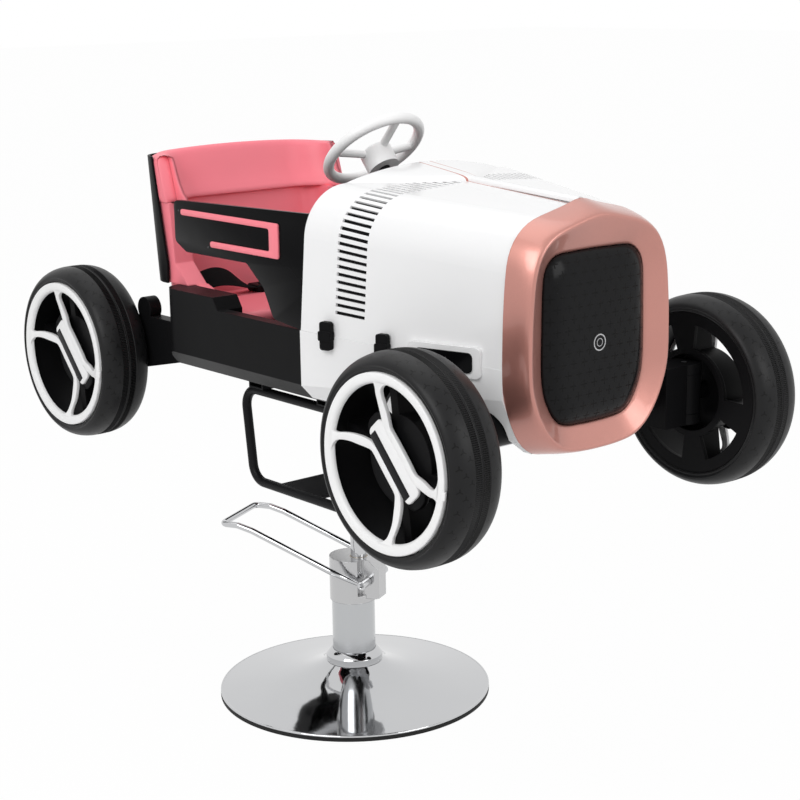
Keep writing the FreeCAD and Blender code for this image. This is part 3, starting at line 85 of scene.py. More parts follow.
class Finish:
    """The nodes of a new material, or of a new world."""

    def __init__(self, name, library=bpy.data.materials):
        self.made = library.new(name)
        self.made.use_nodes = True
        self.tree = self.made.node_tree
        self.tree.nodes.clear()

    def node(self, kind, settings={}, values={}, out=0):
        made = self.tree.nodes.new(kind)
        for setting, value in settings.items():
            setattr(made, setting, value)
        for socket, value in values.items():
            if isinstance(value, Shade):
                self.tree.links.new(value.socket, made.inputs[socket])
            else:
                made.inputs[socket].default_value = value
        return Shade(self, made.outputs[out] if made.outputs else None)

    def place(self):
        return self.node("ShaderNodeTexCoord", out="Object")

    def cloud(self, scale, detail=2.0, stretch=(1, 1, 1)):
        where = self.node("ShaderNodeMapping", {}, {"Vector": self.place(), "Scale": stretch})
        return self.node("ShaderNodeTexNoise", {},
                         {"Vector": where, "Scale": scale, "Detail": detail}, "Fac")

    def between(self, factor, first, second):
        return self.node("ShaderNodeMix", {"data_type": "RGBA"}, {0: factor, 6: first, 7: second}, 2)

    def soft_edge(self, radius):
        return self.node("ShaderNodeBevel", {"samples": 6}, {"Radius": radius})

    def edge_wear(self, soft_edge):
        flat = self.node("ShaderNodeNewGeometry", out="Normal")
        facing = self.node("ShaderNodeVectorMath", {"operation": "DOT_PRODUCT"},
                           {0: soft_edge, 1: flat}, "Value")
        return self.node("ShaderNodeClamp", {}, {0: (1.0 - facing) * 5.0})

    def relief(self, height, distance, under):
        return self.node("ShaderNodeBump", {}, {"Height": height, "Distance": distance, "Normal": under})

    def surface(self, values):
        shader = self.node("ShaderNodeBsdfPrincipled", {}, values)
        self.node("ShaderNodeOutputMaterial", {}, {"Surface": shader})
        return self.made


def shade(colour, amount=1.0):
    return tuple(channel * amount for channel in colour) + (1.0,)


def dress(material, slot, *names):
    """Gives CAD nodes their finish."""
    for name in names:
        nodes[name].data.materials.clear()
        nodes[name].data.materials.append(material)


def plated(name, colour, roughness, edge):
    """Bright metal with faint smears and a few dull specks."""
    finish = Finish(name)
    soft_edge = finish.soft_edge(edge)
    smear = finish.cloud(14.0, 4.0)
    specks = finish.cloud(900.0, 1.0)
    tone = finish.between(smear * 0.5, shade(colour), shade(colour, 0.93))
    normal = finish.relief(finish.cloud(60.0, 1.0), 0.00002, soft_edge)
    return finish.surface({"Base Color": tone, "Metallic": 1.0, "Normal": normal,
                           "Roughness": roughness + smear * 0.05 + (specks > 0.72) * 0.05})


merge_distance = 0.00001


def form_of(corners, closed=True):
    """A wire of vertices and edges, ready to be spun."""
    form = bmesh.new()
    points = [form.verts.new(corner) for corner in corners]
    for first, second in zip(points, points[1:] + points[:1] if closed else points[1:]):
        form.edges.new((first, second))
    return form


def spun(profile, steps, axis=(1, 0, 0), closed=True):
    """A full turn of a profile about an axis through the origin."""
    form = form_of(profile, closed)
    bmesh.ops.spin(form, geom=form.verts[:] + form.edges[:], cent=(0, 0, 0), axis=axis,
                   angle=2 * math.pi, steps=steps, use_merge=True)
    bmesh.ops.remove_doubles(form, verts=form.verts, dist=merge_distance)
    return form


def moved(form, matrix):
    bmesh.ops.transform(form, matrix=matrix, verts=form.verts)
    return form


def piece(name, form, material, slot, body, *stands_for, crease=35.0):
    """Makes an object of a form, which rides on a body and may stand for CAD nodes."""
    bmesh.ops.recalc_face_normals(form, faces=form.faces)
    mesh = bpy.data.meshes.new(name)
    form.to_mesh(mesh)
    form.free()
    mesh.shade_smooth()
    mesh.set_sharp_from_angle(angle=math.radians(crease))
    mesh.materials.append(material)
    made = bpy.data.objects.new(name, mesh)
    bpy.context.scene.collection.objects.link(made)
    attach(made, body)
    if stands_for:
        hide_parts(*stands_for)


def eased(values, steps):
    """Points on a smooth line through the given values."""
    line = []
    ends = [values[0]] + values + [values[-1]]
    for before, start, end, after in zip(ends, ends[1:], ends[2:], ends[3:]):
        for step in range(steps):
            t = step / steps
            line.append([0.5 * (2 * b + (c - a) * t + (2 * a - 5 * b + 4 * c - d) * t ** 2
                                + (3 * b - a - 3 * c + d) * t ** 3)
                         for a, b, c, d in zip(before, start, end, after)])
    return line + [list(values[-1])]


pump_middle = Matrix.Translation((-0.00539, 0.01072, 0))
pump_steps = 144
neck_height = 0.0550
neck_bore = 0.0383
plate_skin = 0.0025
collar_height = 0.0226
plate_top = [(0.2382, 0.0103), (0.2366, 0.0100), (0.2340, 0.0102), (0.2000, 0.0150), (0.1488, 0.0230),
             (0.1100, 0.0310), (0.0864, 0.0380), (0.0680, 0.0452), (0.0560, 0.0515), (0.0500, neck_height)]
plate_under = [(neck_bore, neck_height), (neck_bore, neck_height - plate_skin),
               (0.0475, neck_height - plate_skin), (0.0840, 0.0350), (0.1488, 0.0200), (0.2000, 0.0110),
               (0.2370, 0.0066)]
plate_bead = [(0.2394, 0.0066), (0.2400, 0.0076), (0.2400, 0.0090), (0.2394, 0.0099)]
collar_profile = [(neck_bore, neck_height), (0.0492, neck_height), (0.0500, 0.0558), (0.0500, 0.0668),
                  (0.0494, 0.0678), (0.0412, 0.0772), (0.0402, neck_height + collar_height),
                  (neck_bore, neck_height + collar_height)]


def about_pump(profile):
    """A full turn of a profile of radii and heights about the pump's middle line."""
    form = spun([(radius, 0, height) for radius, height in profile], pump_steps, (0, 0, 1))
    return moved(form, pump_middle)


chrome = plated("mirror_chrome", (0.56, 0.565, 0.575), roughness=0.03, edge=0.0008)
plate_profile = eased(plate_top, 6) + plate_under + plate_bead
piece("base_trumpet", about_pump(plate_profile), chrome, "polished_chrome", "base", "base_plate",
      crease=30.0)
piece("neck_collar", about_pump(collar_profile), chrome, "polished_chrome", "base", "base_collar",
      crease=30.0)


def cast_metal(name, colour, roughness, grain, edge):
    """Paint over a rough casting."""
    finish = Finish(name)
    soft_edge = finish.soft_edge(edge)
    pits = finish.cloud(grain, 3.0)
    tone = finish.between(pits, shade(colour, 0.8), shade(colour, 1.25))
    normal = finish.relief(pits, 0.0004, soft_edge)
    return finish.surface({"Base Color": tone, "Metallic": 0.6, "Normal": normal,
                           "Roughness": roughness + pits * 0.15})


def rubber(name, colour, roughness, grain):
    """Matt rubber, greyer where it is dusty or worn."""
    finish = Finish(name)
    soft_edge = finish.soft_edge(0.0008)
    dust = finish.cloud(9.0, 4.0)
    pores = finish.cloud(grain, 2.0)
    wear = finish.edge_wear(soft_edge)
    tone = finish.between(dust * 0.5 + wear * 0.3, shade(colour), shade(colour, 2.2))
    normal = finish.relief(pores, 0.0001, soft_edge)
    return finish.surface({"Base Color": tone, "Normal": normal, "Specular IOR Level": 0.2,
                           "Roughness": roughness + dust * 0.12})


casting = cast_metal("painted_casting", (0.05, 0.05, 0.055), roughness=0.5, grain=300.0, edge=0.001)
dress(casting, "cast_ballast", "base_ballast")
floor_rubber = rubber("floor_rubber", (0.012, 0.012, 0.012), roughness=0.6, grain=700.0)
dress(floor_rubber, "base_rubber", "base_rubber_ring")


# Pump: a chromed cylinder tube with a satin cast head, an oil-hydraulic cylinder, ram and
# bush inside it, and a lever housing. Stepping on the chromed pedal loop turns the cam,
# which pushes the plunger.

satin_head = plated("satin_nickel", (0.52, 0.52, 0.525), roughness=0.2, edge=0.0015)
satin_chrome = plated("satin_chrome", (0.50, 0.51, 0.52), roughness=0.14, edge=0.0008)
dress(chrome, "polished_chrome", "ram_rod")
dress(satin_head, "machined_steel", "pump_head", "lever_housing")
dress(satin_chrome, "polished_chrome", "pump_cylinder")

crank_forward = -0.027
crank_height = 0.211
pump_turn = Matrix.Rotation(math.radians(26.7), 4, "Z")
rod_growth = 0.0015
growth_start = 0.010
growth_run = 0.006


def skin_of(name):
    """A copy of a CAD node's skin with its corners merged."""
    form = bmesh.new()
    form.from_mesh(nodes[name].data)
    bmesh.ops.remove_doubles(form, verts=form.verts, dist=merge_distance)
    return form


def pedal_loop():
    """The CAD crank and rod as one skin, the rod brought to its full thickness."""
    form = moved(skin_of("foot_pedal"), pump_turn.inverted())
    form.normal_update()
    for vertex in form.verts:
        off_crank = math.hypot(vertex.co.y - crank_forward, vertex.co.z - crank_height)
        share = min(max((off_crank - growth_start) / growth_run, 0.0), 1.0)
        vertex.co += vertex.normal * rod_growth * share
    return moved(form, pump_turn)


piece("pedal_loop", pedal_loop(), chrome, "polished_chrome", "pedal", "foot_pedal")


def machined(name, colour, roughness, stretch, edge):
    """Bare metal with the fine lines of its cutting."""
    finish = Finish(name)
    soft_edge = finish.soft_edge(edge)
    lines = finish.cloud(700.0, 2.0, stretch)
    smear = finish.cloud(20.0, 3.0)
    wear = finish.edge_wear(soft_edge)
    tone = finish.between(smear * 0.6 + wear * 0.4, shade(colour, 0.88), shade(colour, 1.1))
    normal = finish.relief(lines, 0.00002, soft_edge)
    return finish.surface({"Base Color": tone, "Metallic": 1.0, "Normal": normal,
                           "Roughness": roughness + lines * 0.08 + smear * 0.06})


steel = machined("turned_steel", (0.58, 0.58, 0.60), roughness=0.24, stretch=(0.1, 1, 1), edge=0.0005)
bronze = machined("bush_bronze", (0.52, 0.45, 0.36), roughness=0.3, stretch=(1, 1, 0.2), edge=0.0004)
dress(steel, "machined_steel", "pressure_cylinder", "ram_piston", "pedal_cam", "pump_plunger")
dress(bronze, "bush_bronze", "ram_bush")


# Swivel socket and cradle: two bent steel tube loops on a plate that turns on the ram,
# with box rails across their tops. All of it is welded and powder coated satin black.

def coated(name, colour, roughness, edge):
    """Powder coat with a fine orange peel."""
    finish = Finish(name)
    soft_edge = finish.soft_edge(edge)
    peel = finish.cloud(650.0, 2.0)
    patch = finish.cloud(12.0, 3.0)
    wear = finish.edge_wear(soft_edge)
    tone = finish.between(patch * 0.6 + wear * 0.5, shade(colour), shade(colour, 1.9))
    normal = finish.relief(peel, 0.00012, soft_edge)
    return finish.surface({"Base Color": tone, "Normal": normal, "Specular IOR Level": 0.1,
                           "Roughness": roughness + peel * 0.1 + patch * 0.06})


black_coat = coated("black_powder_coat", (0.007, 0.007, 0.008), roughness=0.3, edge=0.0012)
dress(black_coat, "black_powder_coat", "swivel_socket", "cradle_loop_left", "cradle_loop_right",
      "cradle_plate", "cross_rails")


# Chassis tub and axles: blow-moulded black covers over the steel beams, with steel
# kingpins and shafts. Their grained skin is satin and scuffs pale on its edges.

def moulded(name, colour, roughness, grain, grain_depth, edge, worn=0.35, shine=0.5):
    """Moulded plastic with a fine leather grain over slow ripples."""
    finish = Finish(name)
    soft_edge = finish.soft_edge(edge)
    leather = finish.cloud(grain, 2.0)
    ripple = finish.cloud(28.0, 0.0)
    dust = finish.cloud(7.0, 4.0)
    wear = finish.edge_wear(soft_edge)
    tone = finish.between(dust * 0.4 + wear * worn, shade(colour), shade(colour, 1.12))
    normal = finish.relief(ripple, 0.0004, finish.relief(leather, grain_depth, soft_edge))
    return finish.surface({"Base Color": tone, "Normal": normal, "Specular IOR Level": shine,
                           "Roughness": roughness + dust * 0.08 + leather * 0.04})


black_shell = moulded("grained_black_plastic", (0.0055, 0.0055, 0.006), roughness=0.34, grain=900.0,
                      grain_depth=0.00006, edge=0.002, shine=0.055)
dress(black_shell, "black_plastic", "chassis_tub", "front_axle", "rear_axle_housing", "knuckle_left",
      "knuckle_right")
dress(steel, "machined_steel", "kingpins", "rear_axle_shaft", "tie_rod")


# Wheels: hollow tyres of satin black rubber on black moulded rims, each with a white
# dished cover clipped into its outer face. The cover is a ring, two arms that are bent
# past the sides of a box shaped centre bar, and the bar with a black strip let into it.

tyre_middle = 0.04825
tread_steps = 652
slot_depth = 0.0014
slot_start = 0.0020
slot_end = 0.0130
tyre_half = [(0.0418, 0.1302), (0.0437, 0.1312), (0.0447, 0.1335), (0.0443, 0.1352), (0.0452, 0.1368),
             (0.0462, 0.1386), (0.0458, 0.1408), (0.0441, 0.1435), (0.0412, 0.1464), (0.0373, 0.1491),
             (0.0327, 0.1513), (0.0277, 0.1530), (0.0225, 0.1541), (0.0175, 0.1549), (0.0140, 0.1552),
             (0.0134, 0.1548), (0.0128, 0.1552), (0.0022, 0.1555), (0.0016, 0.1555), (0.0010, 0.1545)]


def tread():
    """Tyre with two rows of fine cross slots, its unrolled surface kept as a UV map."""
    far_half = [(-across, radius) for across, radius in reversed(tyre_half)]
    form = spun([(across - tyre_middle, 0, radius) for across, radius in tyre_half + far_half], tread_steps)
    step = 2 * math.pi / tread_steps
    for vertex in form.verts:
        across = vertex.co.x + tyre_middle
        column = round(math.atan2(vertex.co.y, vertex.co.z) / step)
        row = 0 if across > 0 else 1
        if slot_start < abs(across) < slot_end and (column + row) % 2 == 0:
            reach = math.hypot(vertex.co.y, vertex.co.z)
            vertex.co.y *= 1 - slot_depth / reach
            vertex.co.z *= 1 - slot_depth / reach
    unrolled = form.loops.layers.uv.new("tread")
    for face in form.faces:
        middle = face.calc_center_median()
        heading = math.atan2(middle.y, middle.z)
        for loop in face.loops:
            swing = math.atan2(loop.vert.co.y, loop.vert.co.z) - heading
            swing = (swing + math.pi) % (2 * math.pi) - math.pi
            loop[unrolled].uv = ((heading + swing) / (2 * math.pi), loop.vert.co.x + tyre_middle)
    return form


sipes_round = 30.0
sipe_spacing = 0.0325
sipe_rows = 3.0
sipe_row_start = 0.0160
sipe_row_width = 0.0085
sipe_row_shift = 0.333
sipe_half_width = 0.0009
sipe_reach = 0.0048


def tyre_compound():
    """Tyre rubber with rows of three-legged sipes beside its slots, both darkened with painted shade."""
    finish = Finish("tyre_rubber")
    soft_edge = finish.soft_edge(0.0006)
    dust = finish.cloud(9.0, 4.0)
    pores = finish.cloud(600.0, 2.0)
    laid_flat = finish.node("ShaderNodeUVMap", {"uv_map": "tread"})
    unrolled = finish.node("ShaderNodeSeparateXYZ", {}, {0: laid_flat})
    off_middle = unrolled.part("Y").of("ABSOLUTE")
    rows = (off_middle - sipe_row_start) * (1 / sipe_row_width)
    row = rows.of("FLOOR")
    lap = unrolled.part("X") * sipes_round + row * sipe_row_shift
    along = (lap.fraction() - 0.5) * sipe_spacing
    across = (rows - row - 0.5) * sipe_row_width
    reach = (along * along + across * across).of("SQRT")
    third = along.maths("ARCTAN2", across, along) * (3 / (2 * math.pi))
    swing = (third.fraction() - 0.5) * (2 * math.pi / 3)
    off_leg = reach * swing.of("SINE").of("ABSOLUTE")
    sipe_cuts_and_shade = (off_leg < sipe_half_width) * (reach < sipe_reach) * (rows > 0.0) * (rows < sipe_rows)
    beat = unrolled.part("X") * (tread_steps / 2)
    slots = (beat.fraction() > 0.5) * (off_middle > slot_start) * (off_middle < slot_end)
    tone = finish.between(dust * 0.5, shade((0.008, 0.008, 0.0085)), shade((0.014, 0.014, 0.015)))
    # The sipes and slots are mixed towards near black: painted shade in their grooves.
    tone = finish.between(sipe_cuts_and_shade * 0.9 + slots * 0.8, tone, shade((0.0008, 0.0008, 0.0008)))
    normal = finish.relief(1.0 - sipe_cuts_and_shade, 0.004, finish.relief(pores, 0.0001, soft_edge))
    return finish.surface({"Base Color": tone, "Normal": normal, "Specular IOR Level": 0.2,
                           "Roughness": 0.33 + dust * 0.12})


def bevelled(form, edges, width, segments):
    """Rounds the given edges of a form."""
    bmesh.ops.bevel(form, geom=edges, offset=width, segments=segments, profile=0.5, affect="EDGES",
                    material=-1, clamp_overlap=True)


def sharp_edges(form, degrees):
    return [edge for edge in form.edges
            if edge.is_manifold and edge.calc_face_angle() > math.radians(degrees)]


def soften(form, width, segments=2, degrees=40.0):
    """Rounds the sharp edges of a form."""
    bevelled(form, sharp_edges(form, degrees), width, segments)


def ribbon(rows):
    """A strip of faces laid through rows of points."""
    form = bmesh.new()
    bmesh.ops.create_grid(form, x_segments=len(rows) - 1, y_segments=len(rows[0]) - 1, size=1.0)
    ordered = sorted(form.verts, key=lambda vertex: (round(vertex.co.x, 4), vertex.co.y))
    for vertex, place in zip(ordered, [place for row in rows for place in row]):
        vertex.co = place
    return form


def thicken(form, along):
    """Gives a sheet of faces its thickness by an extrusion along one direction."""
    grown = bmesh.ops.extrude_face_region(form, geom=form.faces[:])["geom"]
    far_corners = [part for part in grown if isinstance(part, bmesh.types.BMVert)]
    bmesh.ops.translate(form, verts=far_corners, vec=along)


cover_ring = [(0.0000, 0.1282), (-0.0012, 0.1292), (-0.0080, 0.1296), (-0.0080, 0.1132), (-0.0046, 0.1134),
              (-0.0016, 0.1156), (-0.0003, 0.1172), (0.0004, 0.1220), (0.0004, 0.1264)]
ring_steps = 160
arm_thickness = 0.006
arm_rounding = 0.0014
bar_turn = Matrix(((0, 0, 1, 0), (-0.669, 0.743, 0, 0), (0.743, 0.669, 0, 0), (0, 0, 0, 1)))

# Each row, in millimetres: the arm's outer edge and its inner edge, both along the bar and
# across it, and the depth below the ring's face. The rows run from its middle outwards.
arm_rows = [(0.0, 28.5, 0.0, 17.5, 20.0), (20.0, 28.3, 20.0, 17.5, 20.0), (36.0, 28.3, 38.0, 17.8, 19.5),
            (45.0, 33.5, 50.0, 21.5, 18.0), (55.0, 41.5, 62.0, 29.5, 15.5), (68.0, 51.0, 75.0, 41.0, 11.0),
            (77.0, 60.0, 83.5, 51.0, 6.2), (81.5, 69.0, 89.5, 59.0, 3.2), (80.0, 80.5, 97.0, 62.5, 1.6),
            (73.0, 92.0, 107.0, 53.0, 1.1)]


def cover_arm(side):
    """One arm, laid out along the bar's length and across it."""
    far_half = [(-outer, outer_across, -inner, inner_across, depth)
                for outer, outer_across, inner, inner_across, depth in reversed(arm_rows[1:])]
    form = ribbon([[Vector((outer, side * outer_across, -depth)) / 1000,
                    Vector((inner, side * inner_across, -depth)) / 1000]
                   for outer, outer_across, inner, inner_across, depth in eased(far_half + arm_rows, 4)])
    thicken(form, (0, 0, -arm_thickness))
    bmesh.ops.recalc_face_normals(form, faces=form.faces)
    soften(form, arm_rounding)
    return moved(form, bar_turn)


def slab(size, middle, corner, edge, corner_steps=5):
    """A flat block with rounded corners and softened edges."""
    form = bmesh.new()
    bmesh.ops.create_cube(form, size=1.0, matrix=Matrix.Translation(middle) @ Matrix.Diagonal((*size, 1)))
    upright = [bar for bar in form.edges if abs((bar.verts[0].co - bar.verts[1].co).z) > size[2] * 0.9]
    bevelled(form, upright, corner, corner_steps)
    soften(form, edge, 3, 50.0)
    return form


def gathered(*forms):
    """Several forms in one."""
    whole = bmesh.new()
    for form in forms:
        loose = bpy.data.meshes.new("loose")
        form.to_mesh(loose)
        form.free()
        whole.from_mesh(loose)
        bpy.data.meshes.remove(loose)
    return whole


clip_turn = Matrix.Rotation(math.radians(-8), 4, "X") @ Matrix(
    ((0, 0, 1, 0), (1, 0, 0, 0), (0, 1, 0, 0), (0, 0, 0, 1)))


def wheel_cover():
    """Ring with its two arms and the clip on its rim."""
    clip = slab(size=(0.008, 0.012, 0.004), middle=(0.1283, 0, -0.0012), corner=0.001, edge=0.0006)
    ring = spun([(out, 0, radius) for out, radius in cover_ring], ring_steps)
    return gathered(ring, cover_arm(1), cover_arm(-1), moved(clip, clip_turn))


def cover_bar():
    bar = slab(size=(0.126, 0.036, 0.014), middle=(0, 0.0005, -0.0278), corner=0.009, edge=0.002)
    return moved(bar, bar_turn)


def cover_label():
    strip = slab(size=(0.109, 0.0150, 0.0030), middle=(0, -0.0098, -0.0216), corner=0.0012, edge=0.0004,
                 corner_steps=2)
    return moved(strip, bar_turn)


def bar_well():
    well = slab(size=(0.152, 0.046, 0.010), middle=(0, 0.0005, -0.0300), corner=0.018, edge=0.002)
    return moved(well, bar_turn)


label_black = moulded("label_gloss_black", (0.006, 0.006, 0.007), roughness=0.12, grain=200.0,
                      grain_depth=0.00002, edge=0.0006, worn=1.0, shine=0.12)
white_satin = moulded("satin_white_plastic", (0.87, 0.87, 0.87), roughness=0.3, grain=700.0,
                      grain_depth=0.00003, edge=0.0012)
tyre_rubber = tyre_compound()
tyre_form = tread()
hub_height = 0.585
wheels = {"front_left": (1, 0.365, -0.512), "front_right": (-1, 0.365, -0.512),
          "rear_left": (1, 0.303, 0.469), "rear_right": (-1, 0.303, 0.469)}
for corner, (side, reach, place) in wheels.items():
    hub = Matrix(((side, 0, 0, side * reach), (0, -1, 0, place), (0, 0, 1, hub_height), (0, 0, 0, 1)))
    body = "wheel_" + corner
    piece("tyre_cover_" + corner, moved(tyre_form.copy(), hub), tyre_rubber, "tyre_rubber", body,
          "tyre_" + corner, crease=25.0)
    piece("cover_ring_" + corner, moved(wheel_cover(), hub), white_satin, "white_satin_plastic", body,
          "wheel_cover_" + corner)
    piece("cover_bar_" + corner, moved(cover_bar(), hub), white_satin, "white_satin_plastic", body)
    piece("cover_label_" + corner, moved(cover_label(), hub), label_black, "black_plastic", body)
    piece("bar_well_" + corner, moved(bar_well(), hub), black_shell, "black_plastic", body)
    dress(black_shell, "black_plastic", "wheel_rim_" + corner)


# Seat: a coral pink moulded bucket with a separate headrest band rolled over its top
# edge, backed by a black shell screwed on from behind. Two webbing straps meet in a
# buckle over the child's lap.

coral = moulded("coral_plastic", (0.94, 0.23, 0.28), roughness=0.36, grain=800.0, grain_depth=0.00005,
                edge=0.004, worn=0.6, shine=0.35)
dress(coral, "pink_plastic", "seat_bucket")
dress(black_shell, "black_plastic", "rear_shell")

band_half_width = 0.197
band_rear = 0.352
band_corner = 0.058
band_corner_growth = 0.016
band_front = 0.265
band_front_lean = 0.024
band_foot = 0.866
band_crest = 0.952
band_rise = band_crest - band_foot
wing_thickness = 0.023
wing_drop = 0.008
back_thickness = 0.040
shell_lean = 0.024 / 0.225
end_inset = 0.12
end_roll = 0.0015

# The band's section: how far into its thickness, as a share, and how high above its foot.
band_wall = [(0.04, 0.000), (0.00, 0.010), (0.00, 0.075), (0.05, 0.082), (0.16, 0.086), (0.30, 0.086),
             (0.41, 0.082), (0.47, 0.074), (0.55, 0.056), (0.66, 0.036), (0.82, 0.018), (0.96, 0.009),
             (1.00, 0.004), (0.97, 0.000)]


def bend(half, rear, radius, front, arc_steps=14, run_steps=8):
    """Plan of a U shaped wall from the left wing's front round the back to the right."""
    side = [(-half, front + (rear - radius - front) * step / run_steps) for step in range(run_steps)]
    turn = [(-half + radius - radius * math.cos(angle), rear - radius + radius * math.sin(angle))
            for angle in [math.pi / 2 * step / arc_steps for step in range(arc_steps + 1)]]
    back = [(-half + radius + (half - radius) * step / run_steps, rear) for step in range(1, run_steps + 1)]
    left = side + turn + back
    return left + [(-x, y) for x, y in reversed(left[:-1])]


def headrest_roll():
    """Band of a tapered section carried round the seat, its front ends rolled in."""
    lines = []
    for share, height in band_wall:
        level = height / band_rise
        plan = bend(band_half_width - wing_thickness * min(1.0, 2.4 * share),
                    band_rear - shell_lean * (band_rise - height) - back_thickness * share,
                    band_corner + band_corner_growth * share, band_front + band_front_lean * level)
        lines.append([Vector((x, y, band_foot + height - wing_drop * (x / band_half_width) ** 2 * level))
                      for x, y in plan])
    rows = [[line[place] for line in lines] for place in range(len(lines[0]))]
    backward = Vector((0, end_roll, 0))
    for end in (0, -1):
        middle = sum(rows[end], Vector()) / len(rows[end])
        rolled = [point.lerp(middle, end_inset) - backward for point in rows[end]]
        rows[end] = [point + backward for point in rows[end]]
        rows.insert(0 if end == 0 else len(rows), rolled)
    form = ribbon([row + row[:1] for row in rows])
    bmesh.ops.remove_doubles(form, verts=form.verts, dist=merge_distance)
    bmesh.ops.holes_fill(form, edges=[edge for edge in form.edges if edge.is_boundary], sides=0)
    bmesh.ops.triangulate(form, faces=[face for face in form.faces if len(face.verts) > 4])
    return form


piece("headrest_roll", headrest_roll(), coral, "pink_plastic", "car", "headrest_band", crease=50.0)


def woven(name, colour):
    """Webbing with a twill of warp and weft."""
    finish = Finish(name)
    where = finish.place()
    weft = finish.node("ShaderNodeTexWave", {"bands_direction": "Y"},
                       {"Vector": where, "Scale": 260.0, "Distortion": 0.6}, "Fac")
    warp = finish.node("ShaderNodeTexWave", {"bands_direction": "DIAGONAL"},
                       {"Vector": where, "Scale": 180.0, "Distortion": 0.4}, "Fac")
    cloth = weft * warp
    fuzz = finish.cloud(1500.0, 2.0)
    tone = finish.between(cloth * 0.7 + fuzz * 0.3, shade(colour, 0.6), shade(colour, 2.0))
    flat = finish.node("ShaderNodeNewGeometry", out="Normal")
    return finish.surface({"Base Color": tone, "Roughness": 0.75 + fuzz * 0.15, "Specular IOR Level": 0.1,
                           "Normal": finish.relief(cloth + fuzz * 0.4, 0.0005, flat)})


# Each row: a point on the strap's middle line, then the line across the strap there.
strap_line = [(-0.153, 0.268, 0.692, 0.002, -0.032, 0.002),
              (-0.148, 0.266, 0.708, 0.006, -0.030, -0.016),
              (-0.132, 0.262, 0.721, 0.005, -0.024, -0.026),
              (-0.104, 0.258, 0.727, 0.003, -0.020, -0.031),
              (-0.075, 0.258, 0.722, 0.001, -0.022, -0.027),
              (-0.048, 0.260, 0.709, 0.0, -0.029, -0.014),
              (-0.030, 0.262, 0.701, 0.0, -0.032, -0.003),
              (-0.018, 0.262, 0.698, 0.0, -0.032, 0.0)]
strap_thickness = 0.0018
strap_rounding = 0.0005


def strap(side):
    """Flat webbing laid through its middle line and the line across it."""
    rows = []
    for x, y, z, across_x, across_y, across_z in eased(strap_line, 6):
        middle = Vector((side * x, y, z))
        across = Vector((side * across_x, across_y, across_z))
        rows.append([middle + share * across for share in (-0.5, -0.25, 0.0, 0.25, 0.5)])
    form = ribbon(rows)
    bmesh.ops.recalc_face_normals(form, faces=form.faces)
    bmesh.ops.solidify(form, geom=form.faces[:], thickness=strap_thickness)
    soften(form, strap_rounding, 1)
    return form


webbing = woven("black_webbing", (0.005, 0.005, 0.0055))
piece("lap_straps", gathered(strap(1), strap(-1)), webbing, "belt_webbing", "car", "lap_belts")
buckle_shell = slab(size=(0.046, 0.038, 0.013), middle=(0, 0.262, 0.6972), corner=0.007, edge=0.003)
buckle_press = slab(size=(0.020, 0.016, 0.004), middle=(0, 0.256, 0.7040), corner=0.003, edge=0.001,
                    corner_steps=3)
piece("buckle_case", gathered(buckle_shell, buckle_press), black_shell, "black_plastic", "car",
      "belt_buckle")


# Side panels: glossy black mouldings standing on the tub between the seat and the hood.
# Their lower rear corners are rounded, coral rails are clipped on their outer faces, and
# a small screw stands at each free end of a rail.

gloss_black = moulded("gloss_black_plastic", (0.003, 0.003, 0.0035), roughness=0.1, grain=200.0,
                      grain_depth=0.00002, edge=0.0012, worn=1.0, shine=0.06)
dark_steel = machined("blackened_steel", (0.07, 0.07, 0.075), roughness=0.35, stretch=(1, 1, 1),
                      edge=0.0004)
panel_face = 0.230
panel_rounding = 0.008
panel_rear_corner = (0.140, 0.840)
rail_rounding = 0.005
rail_thickness = 0.004
panel_thickness = 0.010
moulded_rim = 0.0008
screw_radius = 0.0020
screw_height = 0.0010
screw_sink = 0.0008
screw_steps = 20
screw_places = [(0.176, 0.864), (0.092, 0.8105)]


def screw(place, out):
    """Domed screw head that stands out of a face along a direction."""
    profile = [(0.0, screw_height), (screw_radius * 0.45, screw_height * 0.9),
               (screw_radius * 0.8, screw_height * 0.55), (screw_radius, 0.0), (screw_radius, -screw_sink),
               (0.0, -screw_sink)]
    form = spun([(reach, 0, rise) for reach, rise in profile], screw_steps, (0, 0, 1), closed=False)
    turn = Vector(out).to_track_quat("Z", "Y").to_matrix().to_4x4()
    return moved(form, Matrix.Translation(place) @ turn)


def flat_faced(name):
    """A copy of a CAD node's skin with its flat faces made whole."""
    form = skin_of(name)
    bmesh.ops.dissolve_limit(form, angle_limit=math.radians(1.0), verts=form.verts, edges=form.edges)
    return form


def through_edges(form, degrees, thickness):
    """The sharp edges that cross a panel from face to face."""
    return [edge for edge in sharp_edges(form, degrees)
            if abs(edge.verts[0].co.x - edge.verts[1].co.x) > thickness / 2]


def rail_strips():
    form = flat_faced("side_rails")
    bevelled(form, through_edges(form, 60.0, rail_thickness), rail_rounding, 5)
    soften(form, moulded_rim, degrees=60.0)
    return form


def panel_shell(name):
    """Side panel with its lower rear corner rounded and its rim softened."""
    form = flat_faced("side_panel_" + name)
    corner_start, corner_top = panel_rear_corner
    corner = [edge for edge in through_edges(form, 20.0, panel_thickness)
              if min(vertex.co.y for vertex in edge.verts) > corner_start
              and max(vertex.co.z for vertex in edge.verts) < corner_top]
    bevelled(form, corner, panel_rounding, 5)
    soften(form, moulded_rim, degrees=60.0)
    return form


piece("rail_strips", rail_strips(), coral, "pink_plastic", "car", "side_rails")
for name, side in (("left", 1), ("right", -1)):
    screws = gathered(*[screw((side * panel_face, along, up), (side, 0, 0)) for along, up in screw_places])
    piece("side_panel_shell_" + name, panel_shell(name), gloss_black, "gloss_black_plastic", "car",
          "side_panel_" + name)
    piece("panel_screws_" + name, screws, dark_steel, "machined_steel", "car")


# Hood: a painted white cover with louvred flanks over white lower sides, lined in black
# behind the louvres. A rose pin line runs along each foot of the raised spine.

pin_line_start = 0.0094
pin_line_end = 0.0122
pin_line_floor = 0.86


